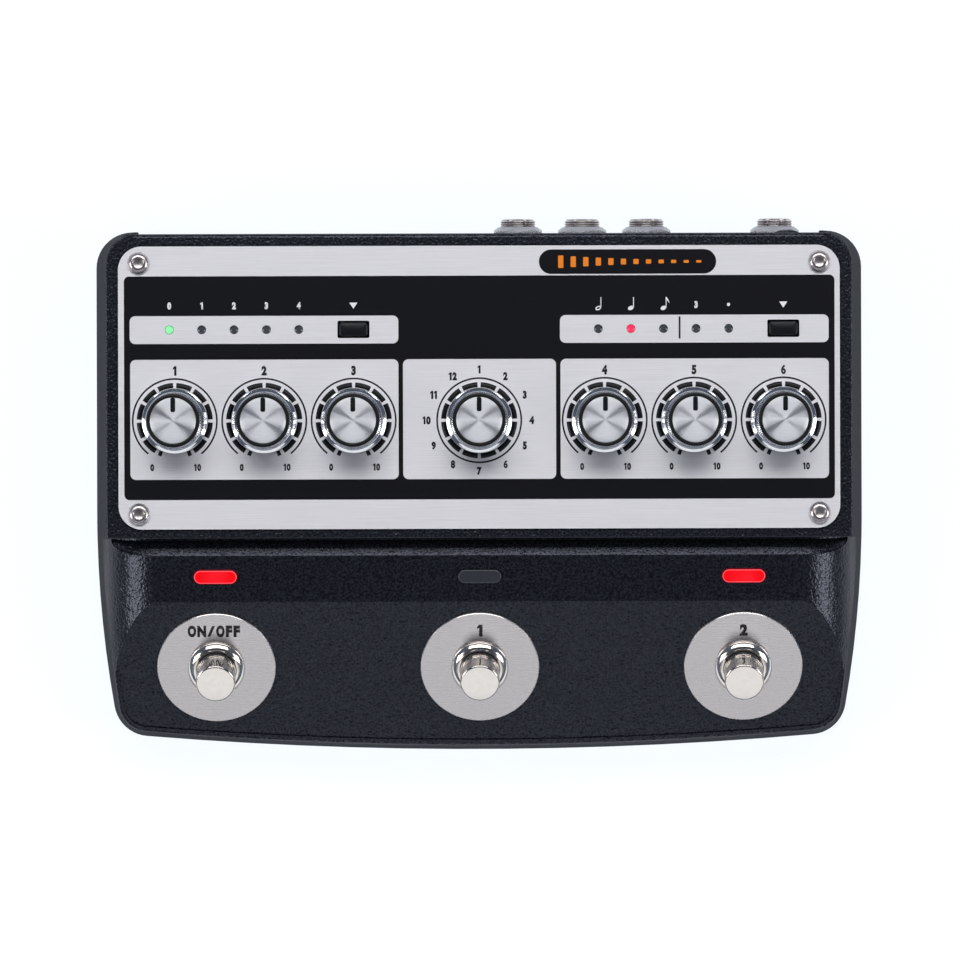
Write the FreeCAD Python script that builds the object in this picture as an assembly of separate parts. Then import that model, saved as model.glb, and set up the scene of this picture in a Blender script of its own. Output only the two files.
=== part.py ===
import FreeCAD, Part
import math
import os

os.makedirs("parts", exist_ok=True)

V = FreeCAD.Vector
X_AXIS = V(1, 0, 0)
Z_AXIS = V(0, 0, 1)

# All sizes are in millimetres and all angles in degrees.
# The origin is the middle of the footprint, on the surface under the feet.
# +X is to the player's right, +Y to the rear sockets and +Z up.

# Case in plan
half_width = 96.0
front_y = -66.55
rear_corner_y = 63.4
rear_recess_depth = 1.4
rear_corner_width = 10.6
bow_start = 6.3
side_bow_radius = 280.0
front_bow_radius = 1000.0
corner_radius = 9.0
side_flare = 3.75
rear_flare = 0.9
rear_corner_tightening = 0.2

# Case in height
foot_height = 2.5
block_top_z = 37.2
block_edge_radius = 0.45
rear_edge_radius = 1.0
wall = 2.5

# Front deck, from the front edge back: foot switches, plateau, light strip, crest, groove and block
foot_switch_inset = 21.4
plateau_behind_switch = 16.05
light_bar_behind_plateau = 6.2
crest_behind_light_bar = 5.3
groove_width = 4.3
crest_drop = 5.7
strip_angle = 7.4
shoulder_radius = 15.0
shoulder_inset = 1.5
groove_depth = 2.2
groove_floor_width = 0.5
groove_end_inset = 4.5
groove_end_length = 11.5
groove_end_width = 0.35
groove_end_depth = 0.3
crest_width = 0.9
crest_bevel = 0.13
cove_lean = 0.3
plateau_angle = 23.5
plateau_rim_height = 0.5
plateau_rim_inset = 3.2
plateau_rim_shift = 0.5
rim_edge_radius = 1.0

# Bottom plate, its feet and screws
plate_thickness = 1.5
plate_gap = 0.3
foot_radius = 7.0
rear_foot_inset_x = 20.0
rear_foot_inset_y = 17.8
front_foot_inset_x = 24.0
front_foot_inset_y = 20.55
column_radius = 3.4
front_column_inset_x = 17.0
front_column_inset_y = 11.55
base_screw_length = 10.0
case_screw_radius = 1.45
case_screw_head_radius = 2.75
case_screw_head_height = 1.7
thread_gap = 0.05

# Control panel
panel_margin_side = 6.85
panel_margin_front = 2.27
panel_margin_rear = 3.1
panel_corner_radius = 5.8
panel_thickness = 1.5
panel_proud = 0.8
panel_gap = 0.3
panel_screw_inset_x = 5.05
panel_screw_inset_front = 3.8
panel_screw_inset_rear = 4.1
panel_screw_length = 9.0
panel_screw_socket = 2.5

# Pots, selector and their knobs
knob_inset_front = 26.8
knob_inset_side = 13.95
knob_pitch = 22.1
selector_x = 0.0
pot_radius = 8.2
pot_height = 8.0
selector_width = 20.0
bushing_radius = 3.5
bushing_above_panel = 2.6
bushing_gap = 0.2
pot_nut_flats = 10.0
pot_nut_height = 2.0
shaft_radius = 3.0
shaft_flat = 1.5
shaft_flat_length = 7.5
running_gap = 0.05
shaft_floor = 1.5
end_gap = 0.3
knob_height = 14.0
knob_lift = 0.6
knob_skirt_radius = 8.05
knob_skirt_height = 1.5
knob_foot_radius = 7.2
knob_head_radius = 6.55
knob_rim_radius = 0.5
knob_hollow_radius = 6.2
knob_hollow_height = 2.8
cap_radius = 5.7
cap_thickness = 1.0
cap_gap = 0.03
pointer_width = 1.1
pointer_inner_radius = 2.2

# Lamps and buttons on the panel
lamp_inset_rear = 20.6
lamps_per_side = 5
left_lamp_inset = 12.65
left_lamp_pitch = 8.0
right_lamp_inset = 27.45
right_lamp_pitch = 8.05
green_lamp = 0
red_lamp = 1
lamp_radius = 1.0
lamp_proud = 0.25
lamp_gap = 0.1
button_length = 7.6
button_width = 4.0
button_corner = 0.4
button_proud = 0.9
button_gap = 0.15
button_travel = 0.5
button_flange = 0.8
button_flange_thickness = 1.0
button_stem_radius = 1.6
tact_width = 6.2
tact_height = 3.8
tact_well_gap = 0.2

# Circuit boards
board_thickness = 1.6
control_board_inset_side = 5.15
control_board_inset_front = 8.4
control_board_inset_rear = 14.4
main_board_inset_side = 9.15
main_board_inset_front = 1.3
main_board_inset_rear = 6.9
main_board_z = 8.0
spacer_radius = 2.6
control_spacer_inset_side = 19.8
control_spacer_inset_rear = 14.5
control_spacer_inset_front = 3.0
control_spacer_beside_selector = 5.5
main_spacer_inset_side = 20.0
main_spacer_inset_rear = 22.0
main_spacer_inset_front = 5.0
board_screw_radius = 1.2
board_screw_head_radius = 2.2
board_screw_head_height = 1.6
board_screw_length = 5.0
board_link_length = 25.4
board_link_width = 5.0
board_link_behind_knobs = 13.1
chip_height = 1.4
chips = ((-32.0, 40.0, 14.0), (-8.0, 46.0, 10.0), (20.0, 40.0, 7.0), (38.0, 48.0, 7.0))

# Light bars in the strip, above each foot switch
light_bar_length = 10.9
light_bar_width = 3.55
light_bar_proud = 0.35
light_bar_flange = 1.2
light_bar_flange_thickness = 1.0
light_bar_board_depth = 6.5
light_bar_board_inset = 20.0
light_bar_board_width = 9.6
light_bar_boss_x = (-33.0, 33.0)

# Foot switches, square to the plateau
outer_switch_inset = 30.5
washer_radius = 14.7
washer_thickness = 1.0
collar_radius = 7.05
collar_height = 2.05
collar_wall_height = 1.2
collar_top_radius = 5.85
collar_lip_radius = 5.65
collar_lip_thickness = 0.6
foot_bushing_radius = 6.0
foot_bushing_gap = 0.15
plunger_radius = 4.9
plunger_height = 9.7
plunger_edge = 0.3
plunger_gap = 0.08
plunger_travel = 2.5
plunger_flange_radius = 5.9
plunger_flange_thickness = 1.4
housing_width = 17.0
housing_roof = 1.8
housing_floor = 1.0
housing_chamber_gap = 0.3
spring_radius = 4.0
spring_wire_radius = 0.35
spring_turns = 4
spring_pressed_length = 3.5
lead_radius = 0.9
lead_bend_radius = 3.0
lead_straight = 4.0
lead_high_above_board = 7.4
lead_end_inset = 3.0
lead_depth = 8.0

# Sockets along the rear
jack_inset = 11.6
jack_pitch = 16.0
jack_steps = (4, 3, 2, 0)
jack_above_board = 6.4
jack_bore_radius = 3.25
jack_bore_depth = 29.0
jack_thread_radius = 4.4
jack_thread_depth = 0.35
jack_thread_pitch = 0.8
jack_threads_shown = 3
jack_reach = 3.95
jack_body_width = 13.0
jack_body_height = 12.6
jack_body_length = 24.0
jack_sleeve_seat = 4.0
jack_nut_flats = 12.0
jack_nut_height = 2.0
jack_nut_bevel_height = 1.5
jack_nut_face_radius = 5.0
jack_hole_gap = 0.2
midi_width = 20.0
midi_height = 19.0
midi_length = 13.0
midi_nose_radius = 8.6
midi_slot_outer = 7.6
midi_slot_inner = 6.7
midi_slot_depth = 8.0
midi_contact_circle = 3.75
midi_contact_radius = 0.8
midi_contact_angles = (180, 225, 270, 315, 360)
usb_width = 9.0
usb_height = 3.3
usb_shell = 0.35
usb_length = 9.5
usb_tongue_width = 6.6
usb_tongue_thickness = 0.7
inlet_width = 9.0
inlet_height = 11.0
inlet_length = 14.0
inlet_nose_radius = 4.4
inlet_bore_radius = 3.15
inlet_bore_depth = 10.0
inlet_pin_radius = 1.0
inlet_pin_setback = 1.5
socket_gap = 0.2

# Places from front to rear that follow from the sizes above
rear_face_y = rear_corner_y - rear_recess_depth
foot_switch_y = front_y + foot_switch_inset
plateau_rear_y = foot_switch_y + plateau_behind_switch
light_bar_y = plateau_rear_y + light_bar_behind_plateau
crest_y = light_bar_y + crest_behind_light_bar
block_front_y = crest_y + groove_width
bow_start_y = block_front_y + bow_start
panel_front_y = block_front_y + panel_margin_front
panel_rear_y = rear_face_y - panel_margin_rear
panel_screw_front_y = panel_front_y + panel_screw_inset_front
panel_screw_rear_y = panel_rear_y - panel_screw_inset_rear
knob_y = panel_front_y + knob_inset_front
lamp_y = panel_rear_y - lamp_inset_rear
jack_tip_y = rear_face_y + jack_reach
control_board_front_y = panel_front_y + control_board_inset_front
control_board_rear_y = panel_rear_y - control_board_inset_rear
main_board_front_y = block_front_y + main_board_inset_front
main_board_rear_y = panel_rear_y - main_board_inset_rear
board_link_y = knob_y + board_link_behind_knobs
lead_end_y = main_board_front_y + lead_end_inset

# Places from left to right
rear_face_half_width = half_width - rear_corner_width
shoulder_half_width = half_width - shoulder_inset
panel_half_width = half_width - panel_margin_side
panel_screw_x = panel_half_width - panel_screw_inset_x
outer_knob_x = panel_half_width - knob_inset_side
pot_x = [-outer_knob_x + i * knob_pitch for i in range(3)]
pot_x += [outer_knob_x - i * knob_pitch for i in (2, 1, 0)]
left_lamp_x = [-panel_half_width + left_lamp_inset + i * left_lamp_pitch for i in range(lamps_per_side)]
right_lamp_x = [panel_half_width - right_lamp_inset - i * right_lamp_pitch
                for i in reversed(range(lamps_per_side))]
button_x = (pot_x[2], pot_x[5])
control_board_half_width = panel_half_width - control_board_inset_side
main_board_half_width = panel_half_width - main_board_inset_side
light_bar_board_half_length = half_width - light_bar_board_inset
outer_switch_x = half_width - outer_switch_inset
foot_x = (-outer_switch_x, 0.0, outer_switch_x)
jack_x = [rear_face_half_width - jack_inset - i * jack_pitch for i in jack_steps]

# The small sockets share the space between the left screw column and the first plug socket
small_socket_widths = (inlet_width, usb_width, midi_width, midi_width)
small_sockets_start = column_radius - panel_screw_x
small_sockets_end = jack_x[0] - jack_body_width / 2
small_socket_space = small_sockets_end - small_sockets_start - sum(small_socket_widths)
small_socket_space = small_socket_space / (len(small_socket_widths) + 1)
small_socket_x = []
socket_edge = small_sockets_start
for socket_width in small_socket_widths:
    socket_edge += small_socket_space + socket_width
    small_socket_x.append(socket_edge - socket_width / 2)
inlet_x, usb_x = small_socket_x[:2]
midi_x = small_socket_x[2:]

# Heights that follow from the sizes above
plate_z = foot_height
plate_top_z = plate_z + plate_thickness
crest_z = block_top_z - crest_drop
groove_floor_z = crest_z - groove_depth
panel_top_z = block_top_z + panel_proud
knob_top_z = panel_top_z + knob_height
panel_floor_z = panel_top_z - panel_thickness
roof_z = panel_floor_z - wall
control_board_top_z = roof_z - pot_height
control_board_z = control_board_top_z - board_thickness
main_board_top_z = main_board_z + board_thickness
jack_z = main_board_top_z + jack_above_board
lead_high_z = main_board_top_z + lead_high_above_board
inner_rear_y = rear_face_y - wall
strip_slope = math.tan(math.radians(strip_angle))
plateau_slope = math.tan(math.radians(plateau_angle))
beyond = 60.0


def strip_z(y):
    return crest_z + (y - crest_y) * strip_slope


def plateau_z(y):
    return strip_z(plateau_rear_y) + (y - plateau_rear_y) * plateau_slope


# Small shapes used by several pieces


def box(x0, x1, y0, y1, z0, z1):
    return Part.makeBox(x1 - x0, y1 - y0, z1 - z0, V(x0, y0, z0))


def rod(radius, z0, z1, x=0.0, y=0.0):
    return Part.makeCylinder(radius, z1 - z0, V(x, y, z0))


def turned(profile):
    """A solid of revolution about Z from (radius, height) points, which start and end on the axis or meet."""
    points = [V(r, 0, z) for r, z in profile]
    face = Part.Face(Part.makePolygon(points + [points[0]]))
    return face.revolve(V(0, 0, 0), Z_AXIS, 360)


def arc_edge(cx, cy, radius, start, end, z):
    """A round edge in a level plane, from one angle to another."""
    angles = [math.radians(a) for a in (start, (start + end) / 2, end)]
    points = [V(cx + radius * math.cos(a), cy + radius * math.sin(a), z) for a in angles]
    return Part.Arc(*points).toShape()


def rounded_bar(length, width, corner, z0, z1):
    """An upright bar of rounded rectangular section, centred on the origin."""
    bar = box(-length / 2, length / 2, -width / 2, width / 2, z0, z1)
    upright = [e for e in bar.Edges if abs(e.tangentAt(e.FirstParameter).z) > 0.9]
    return bar.makeFillet(corner, upright)


def stadium(length, width, z0, z1):
    """An upright bar with half-round ends, centred on the origin."""
    reach = (length - width) / 2
    radius = width / 2
    edges = [
        Part.makeLine(V(-reach, -radius, z0), V(reach, -radius, z0)),
        arc_edge(reach, 0, radius, -90, 90, z0),
        Part.makeLine(V(reach, radius, z0), V(-reach, radius, z0)),
        arc_edge(-reach, 0, radius, 90, 270, z0),
    ]
    return Part.Face(Part.Wire(edges)).extrude(V(0, 0, z1 - z0))


def hexagon(flats, z0, z1):
    """An upright six-sided prism, by its width across flats, centred on the origin."""
    corner = flats / math.sqrt(3)
    points = [V(corner * math.cos(math.radians(a)), corner * math.sin(math.radians(a)), z0)
              for a in range(0, 361, 60)]
    return Part.Face(Part.makePolygon(points)).extrude(V(0, 0, z1 - z0))


def side_prism(points, x0, x1):
    """A prism along X from (y, z) corners."""
    corners = [V(x0, y, z) for y, z in points]
    return Part.Face(Part.makePolygon(corners + [corners[0]])).extrude(V(x1 - x0, 0, 0))


def placed(shape, x, y, z, tilt=0.0):
    """A copy tilted about X towards the player, then moved."""
    copy = shape.copy()
    copy.rotate(V(0, 0, 0), X_AXIS, tilt)
    copy.translate(V(x, y, z))
    return copy


def facing_rear(shape, x, z):
    """A copy whose own +Z points to the rear, with its origin on the rear face."""
    copy = shape.copy()
    copy.rotate(V(0, 0, 0), X_AXIS, -90)
    copy.translate(V(x, rear_face_y, z))
    return copy


def write(name, shapes):
    solids = shapes if isinstance(shapes, list) else [shapes]
    shape = solids[0] if len(solids) == 1 else Part.makeCompound(solids)
    shape.exportStep("parts/" + name + ".step")


def screw(radius, length, head_radius, head_height):
    """A plain screw with a domed head. Its head sits on Z = 0 and its shank points down."""
    dome = head_height * 0.45
    head = turned([(0, 0), (head_radius, 0), (head_radius, head_height - dome),
                   (head_radius * 0.72, head_height), (0, head_height)])
    return head.fuse(rod(radius, -length, 0.01)).removeSplitter()


def cross_screw(radius, length, head_radius, head_height):
    """A domed screw with a cross recess."""
    blade = head_radius * 0.3
    reach = head_radius * 0.62
    depth = head_height * 0.6
    cross = box(-reach, reach, -blade / 2, blade / 2, head_height - depth, head_height + 1)
    cross = cross.fuse(box(-blade / 2, blade / 2, -reach, reach, head_height - depth, head_height + 1))
    return screw(radius, length, head_radius, head_height).cut(cross)


# Case: a casting with a flared wall, a raised rear block and a lower front deck


def flare(z):
    """How far the flared wall stands in from the lower rim at a height."""
    return side_flare * (z - foot_height) / (block_top_z - foot_height)


def case_outline(inset, rear_y, z):
    """The case in plan at one height: bowed front and sides, and a straight rear."""
    side_x = half_width - inset
    turn = corner_radius - inset
    rear_turn = turn + (1 - rear_corner_tightening) * flare(z)
    side_centre_x = half_width - side_bow_radius
    front_centre_y = front_y + front_bow_radius
    side_reach = side_bow_radius - corner_radius
    front_reach = front_bow_radius - corner_radius
    between = math.hypot(side_centre_x, front_centre_y - bow_start_y)
    to_corner = (side_reach ** 2 + between ** 2 - front_reach ** 2) / (2 * side_reach * between)
    base = math.atan2(front_centre_y - bow_start_y, -side_centre_x)
    side_end = base - math.acos(to_corner)
    corner_x = side_centre_x + side_reach * math.cos(side_end)
    corner_y = bow_start_y + side_reach * math.sin(side_end)
    front_end = math.atan2(corner_y - front_centre_y, corner_x)
    side_deg = math.degrees(side_end)
    front_deg = math.degrees(front_end)
    rear_x = side_x - rear_turn
    return Part.Wire([
        Part.makeLine(V(-rear_x, rear_y, z), V(rear_x, rear_y, z)),
        arc_edge(rear_x, rear_y - rear_turn, rear_turn, 90, 0, z),
        Part.makeLine(V(side_x, rear_y - rear_turn, z), V(side_x, bow_start_y, z)),
        arc_edge(side_centre_x, bow_start_y, side_bow_radius - inset, 0, side_deg, z),
        arc_edge(corner_x, corner_y, turn, side_deg, front_deg, z),
        arc_edge(0, front_centre_y, front_bow_radius - inset, front_deg, -180 - front_deg, z),
        arc_edge(-corner_x, corner_y, turn, -180 - front_deg, -180 - side_deg, z),
        arc_edge(-side_centre_x, bow_start_y, side_bow_radius - inset, 180 - side_deg, 180, z),
        Part.makeLine(V(-side_x, bow_start_y, z), V(-side_x, rear_y - rear_turn, z)),
        arc_edge(-rear_x, rear_y - rear_turn, rear_turn, 180, 90, z),
    ])


def hull(inset, rear_y, z0, z1, rear_lean=0.0):
    """The flared body between two heights, set in from the outer wall, with its rear leaning in."""
    low = case_outline(inset + flare(z0), rear_y, z0)
    high = case_outline(inset + flare(z1), rear_y - rear_lean, z1)
    return Part.makeLoft([low, high], True, True)


def under_deck(strip_drop, plateau_lift):
    """Everything under the light strip, its rolled shoulders and the plateau's plane."""
    start_y = block_front_y + 10
    top = strip_z(start_y) - strip_drop
    low = -beyond
    side = top - shoulder_radius
    reach = shoulder_half_width
    flat = reach - shoulder_radius
    lean = shoulder_radius * math.cos(math.radians(45))

    def at(x, z):
        return V(x, start_y, z)

    section = Part.Wire([
        Part.makeLine(at(-half_width - 9, low), at(half_width + 9, low)),
        Part.makeLine(at(half_width + 9, low), at(half_width + 9, side)),
        Part.makeLine(at(half_width + 9, side), at(reach, side)),
        Part.Arc(at(reach, side), at(flat + lean, side + lean), at(flat, top)).toShape(),
        Part.makeLine(at(flat, top), at(-flat, top)),
        Part.Arc(at(-flat, top), at(-flat - lean, side + lean), at(-reach, side)).toShape(),
        Part.makeLine(at(-reach, side), at(-half_width - 9, side)),
        Part.makeLine(at(-half_width - 9, side), at(-half_width - 9, low)),
    ])
    length = start_y - front_y + 20
    deck = Part.Face(section).extrude(V(0, -length, -length * strip_slope))
    return deck.cut(above_plateau(plateau_lift))


def above_plateau(lift):
    """The space over the plateau's plane, lifted by lift."""
    front = front_y - 30
    rear = block_front_y + 30
    return side_prism([(front, plateau_z(front) + lift), (rear, plateau_z(rear) + lift),
                       (rear, 2 * beyond), (front, 2 * beyond)], -half_width - 20, half_width + 20)


def shoulder_drop(x):
    """How far the rolled shoulder lies under the strip's plane."""
    over = max(0.0, abs(x) - (shoulder_half_width - shoulder_radius))
    return shoulder_radius - math.sqrt(shoulder_radius ** 2 - over ** 2)


def groove_section(x, width, depth):
    """The groove's section: a narrow floor, a rise that flattens towards the crest, and the space above."""
    crest = block_front_y - width
    surface = crest_z - shoulder_drop(x)
    floor = surface - depth
    narrowing = width / groove_width
    floor_end = block_front_y - groove_floor_width * narrowing
    rise_end = crest + crest_width / 2 * narrowing
    end = crest - crest_width / 2 * narrowing
    bevel = crest_bevel * narrowing
    points = [V(x, block_front_y, floor), V(x, floor_end, floor)]
    for share in (0.85, 0.7, 0.55, 0.4, 0.2, 0.0):
        drop = cove_lean * share + (1 - cove_lean) * share ** 4
        height = surface - bevel - (depth - bevel) * drop
        points.append(V(x, rise_end + (floor_end - rise_end) * share, height))
    points.append(V(x, crest, surface - 0.02))
    points.append(V(x, end, strip_z(end) - shoulder_drop(x) + 0.05))
    points.append(V(x, end, 2 * beyond))
    points.append(V(x, block_front_y, 2 * beyond))
    return Part.makePolygon(points + [points[0]])


def groove():
    """The cove between the block's front face and the crest, which curves back to the block at both ends."""
    bend_x = half_width - groove_end_inset - groove_end_length
    sections = []
    for degrees in range(90, -1, -10):
        angle = math.radians(degrees)
        width = groove_end_width + (groove_width - groove_end_width) * math.cos(angle)
        depth = groove_end_depth + (groove_depth - groove_end_depth) * math.cos(angle)
        sections.append((bend_x + groove_end_length * math.sin(angle), width, depth))
    left = [groove_section(-x, width, depth) for x, width, depth in sections]
    right = [groove_section(x, width, depth) for x, width, depth in reversed(sections)]
    return Part.makeLoft(left + right, True, True)


def rear_recess():
    """The sockets' recessed face between the two rear corners, with its top edge rounded."""
    top = block_top_z
    edge = rear_edge_radius
    lean = edge * (1 - math.cos(math.radians(45)))
    y = rear_face_y
    edges = [
        Part.makeLine(V(0, y, -beyond), V(0, y, top - edge)),
        Part.Arc(V(0, y, top - edge), V(0, y - lean, top - lean), V(0, y - edge, top)).toShape(),
        Part.makeLine(V(0, y - edge, top), V(0, y - edge, top + 5)),
        Part.makeLine(V(0, y - edge, top + 5), V(0, y + 9, top + 5)),
        Part.makeLine(V(0, y + 9, top + 5), V(0, y + 9, -beyond)),
        Part.makeLine(V(0, y + 9, -beyond), V(0, y, -beyond)),
    ]
    tool = Part.Face(Part.Wire(edges)).extrude(V(2 * rear_face_half_width, 0, 0))
    tool.translate(V(-rear_face_half_width, 0, 0))
    return tool


def case_outside():
    far = half_width + 20
    body = hull(0, rear_corner_y, foot_height, block_top_z, rear_flare)
    block = body.common(box(-far, far, block_front_y, far, -1, beyond))
    top_edges = [e for e in block.Edges
                 if e.BoundBox.ZMin > block_top_z - 0.01 and e.BoundBox.ZMax < block_top_z + 0.01]
    block = block.makeFillet(block_edge_radius, top_edges).cut(rear_recess())
    front = body.common(under_deck(0, plateau_rim_height))
    front = front.common(box(-far, far, -far, block_front_y, -1, beyond))
    rim_high = strip_z(plateau_rear_y) - 0.3 * shoulder_radius
    rim = [e for e in front.Edges
           if e.BoundBox.ZMin > foot_height + 1 and e.BoundBox.ZMax < rim_high]
    front = front.makeFillet(rim_edge_radius, rim).cut(groove())
    foot_area = Part.Face(case_outline(plateau_rim_inset, rear_corner_y, 0)).extrude(V(0, 0, beyond))
    foot_area.translate(V(0, -plateau_rim_shift, 0))
    front = front.cut(foot_area.common(above_plateau(0)))
    return block.fuse(front).removeSplitter()


def case_cavity():
    far = half_width + 20
    strip_skin = wall / math.cos(math.radians(strip_angle))
    plateau_skin = wall / math.cos(math.radians(plateau_angle))
    rear = hull(wall, inner_rear_y, -1, roof_z)
    rear = rear.common(box(-far, far, block_front_y + wall, far, -1, beyond))
    front = hull(wall, inner_rear_y, -1, block_top_z).common(
        under_deck(strip_skin, -plateau_skin))
    front = front.common(box(-far, far, -far, block_front_y + wall + 1, -1, beyond))
    front = front.cut(box(-far, far, crest_y + 0.6, far, groove_floor_z - wall, beyond))
    return rear.fuse(front)


def corners(x, y):
    return [(-x, y), (x, y)]


base_screw_places = (corners(panel_screw_x, panel_screw_rear_y)
                     + corners(panel_screw_x, panel_screw_front_y)
                     + corners(half_width - front_column_inset_x, front_y + front_column_inset_y))
panel_screw_places = (corners(panel_screw_x, panel_screw_rear_y)
                      + corners(panel_screw_x, panel_screw_front_y))
shaft_places = [(x, knob_y) for x in pot_x] + [(selector_x, knob_y)]
lamp_places = [(x, lamp_y) for x in left_lamp_x + right_lamp_x]
button_places = [(x, lamp_y) for x in button_x]
light_bar_z = strip_z(light_bar_y)
foot_switch_z = plateau_z(foot_switch_y)


def at_strip(shape, x):
    return placed(shape, x, light_bar_y, light_bar_z, strip_angle)


def at_plateau(shape, x):
    return placed(shape, x, foot_switch_y, foot_switch_z, plateau_angle)


def make_top_case():
    outside = case_outside()
    case = outside.cut(case_cavity())
    columns = [rod(column_radius, plate_top_z, beyond, x, y) for x, y in base_screw_places]
    boss = rod(spacer_radius, -light_bar_board_depth, 0)
    columns += [at_strip(boss, x) for x in light_bar_boss_x]
    columns = Part.makeCompound(columns).common(outside)
    case = case.fuse(columns.Solids).removeSplitter()
    tapped = case_screw_radius + thread_gap
    holes = [rod(tapped, plate_z, plate_top_z + base_screw_length, x, y) for x, y in base_screw_places]
    holes += [rod(tapped, panel_top_z - panel_screw_length - 1, panel_top_z, x, y)
              for x, y in panel_screw_places]
    board_hole = rod(board_screw_radius + thread_gap, -light_bar_board_depth - 1, -wall)
    holes += [at_strip(board_hole, x) for x in light_bar_boss_x]
    pocket = rounded_bar(2 * (panel_half_width + panel_gap),
                         panel_rear_y - panel_front_y + 2 * panel_gap,
                         panel_corner_radius + panel_gap, panel_floor_z, beyond)
    holes.append(placed(pocket, 0, (panel_front_y + panel_rear_y) / 2, 0))
    holes += [rod(bushing_radius + bushing_gap, roof_z - 1, beyond, x, y) for x, y in shaft_places]
    holes += [rod(lamp_radius + lamp_gap, roof_z - 1, beyond, x, y) for x, y in lamp_places]
    button_hole = rounded_bar(button_length + 2 * button_gap, button_width + 2 * button_gap,
                              button_corner, roof_z - 1, beyond)
    holes += [placed(button_hole, x, y, 0) for x, y in button_places]
    slot = stadium(light_bar_length + 2 * lamp_gap, light_bar_width + 2 * lamp_gap, -wall - 1, 3)
    holes += [at_strip(slot, x) for x in foot_x]
    bushing_hole = rod(foot_bushing_radius + foot_bushing_gap, -wall - 1, 3)
    holes += [at_plateau(bushing_hole, x) for x in foot_x]
    jack_hole = rod(jack_thread_radius + jack_hole_gap, -wall - 1, 1)
    holes += [facing_rear(jack_hole, x, jack_z) for x in jack_x]
    midi_hole = rod(midi_nose_radius + socket_gap, -wall - 1, 1)
    holes += [facing_rear(midi_hole, x, main_board_top_z + midi_height / 2) for x in midi_x]
    usb_hole = stadium(usb_width + 2 * socket_gap, usb_height + 2 * socket_gap, -wall - 1, 1)
    holes.append(facing_rear(usb_hole, usb_x, main_board_top_z + usb_height / 2))
    inlet_hole = rod(inlet_nose_radius + socket_gap, -wall - 1, 1)
    holes.append(facing_rear(inlet_hole, inlet_x, main_board_top_z + inlet_height / 2))
    return case.cut(holes)


write("top_case", make_top_case())

# Bottom plate with its feet and screws


def make_bottom_plate():
    inset = wall + flare(plate_top_z) + plate_gap
    outline = case_outline(inset, inner_rear_y - plate_gap, plate_z)
    plate = Part.Face(outline).extrude(V(0, 0, plate_thickness))
    holes = [rod(case_screw_radius + 0.2, 0, beyond, x, y) for x, y in base_screw_places]
    return plate.cut(holes)


def make_foot():
    edge = foot_height * 0.3
    return turned([(0, 0), (foot_radius - edge, 0), (foot_radius, edge), (foot_radius, foot_height),
                   (0, foot_height)])


write("bottom_plate", make_bottom_plate())
foot_places = corners(half_width - rear_foot_inset_x, rear_face_y - rear_foot_inset_y)
foot_places += corners(half_width - front_foot_inset_x, front_y + front_foot_inset_y)
write("rubber_feet", [placed(make_foot(), x, y, 0) for x, y in foot_places])
base_screw = cross_screw(case_screw_radius, base_screw_length, case_screw_head_radius,
                         case_screw_head_height)
write("base_screws", [placed(base_screw, x, y, plate_z, 180) for x, y in base_screw_places])

# Control panel plate and its screws


def make_control_panel():
    plate = rounded_bar(2 * panel_half_width, panel_rear_y - panel_front_y, panel_corner_radius,
                        panel_floor_z, panel_top_z)
    plate.translate(V(0, (panel_front_y + panel_rear_y) / 2, 0))
    low = panel_floor_z - 1
    holes = [rod(case_screw_radius + 0.2, low, beyond, x, y) for x, y in panel_screw_places]
    holes += [rod(bushing_radius + bushing_gap, low, beyond, x, y) for x, y in shaft_places]
    holes += [rod(lamp_radius + lamp_gap, low, beyond, x, y) for x, y in lamp_places]
    button_hole = rounded_bar(button_length + 2 * button_gap, button_width + 2 * button_gap,
                              button_corner, low, beyond)
    holes += [placed(button_hole, x, y, 0) for x, y in button_places]
    return plate.cut(holes)


write("control_panel", make_control_panel())
panel_screw = screw(case_screw_radius, panel_screw_length, case_screw_head_radius,
                    case_screw_head_height)
panel_screw = panel_screw.cut(hexagon(panel_screw_socket, case_screw_head_height * 0.35, 5))
write("panel_screws", [placed(panel_screw, x, y, panel_top_z) for x, y in panel_screw_places])

# Pots and the selector: bodies under the roof, bushings through it, nuts on the panel


def make_pot(body):
    top = panel_top_z + bushing_above_panel
    pot = body.fuse(rod(bushing_radius, roof_z - 0.5, top)).removeSplitter()
    return pot.cut(rod(shaft_radius + running_gap, control_board_top_z + shaft_floor, top + 1))


def make_pot_nut():
    nut = hexagon(pot_nut_flats, panel_top_z, panel_top_z + pot_nut_height)
    return nut.cut(rod(bushing_radius + thread_gap, panel_top_z - 1, beyond))


pot_body = rod(pot_radius, control_board_top_z, roof_z)
selector_box = rounded_bar(selector_width, selector_width, 1.0, control_board_top_z, roof_z)
write("pot_bodies", [placed(make_pot(pot_body), x, knob_y, 0) for x in pot_x])
write("selector_body", placed(make_pot(selector_box), selector_x, knob_y, 0))
write("pot_nuts", [placed(make_pot_nut(), x, y, 0) for x, y in shaft_places])

# Knobs: a shaft, a moulded body with a skirt, and a spun disc with a pointer slot

cap_floor_z = knob_top_z - cap_thickness
shaft_low_z = control_board_top_z + shaft_floor + end_gap
shaft_top_z = cap_floor_z - 1.5
knob_low_z = panel_top_z + knob_lift


def d_shaft(radius, flat, z0, z1, flat_z):
    shaft = rod(radius, z0, z1)
    return shaft.cut(box(-radius - 1, radius + 1, -radius - 1, flat - radius, flat_z, z1 + 1))


def make_shaft():
    return d_shaft(shaft_radius, shaft_flat, shaft_low_z, shaft_top_z, shaft_top_z - shaft_flat_length)


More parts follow.
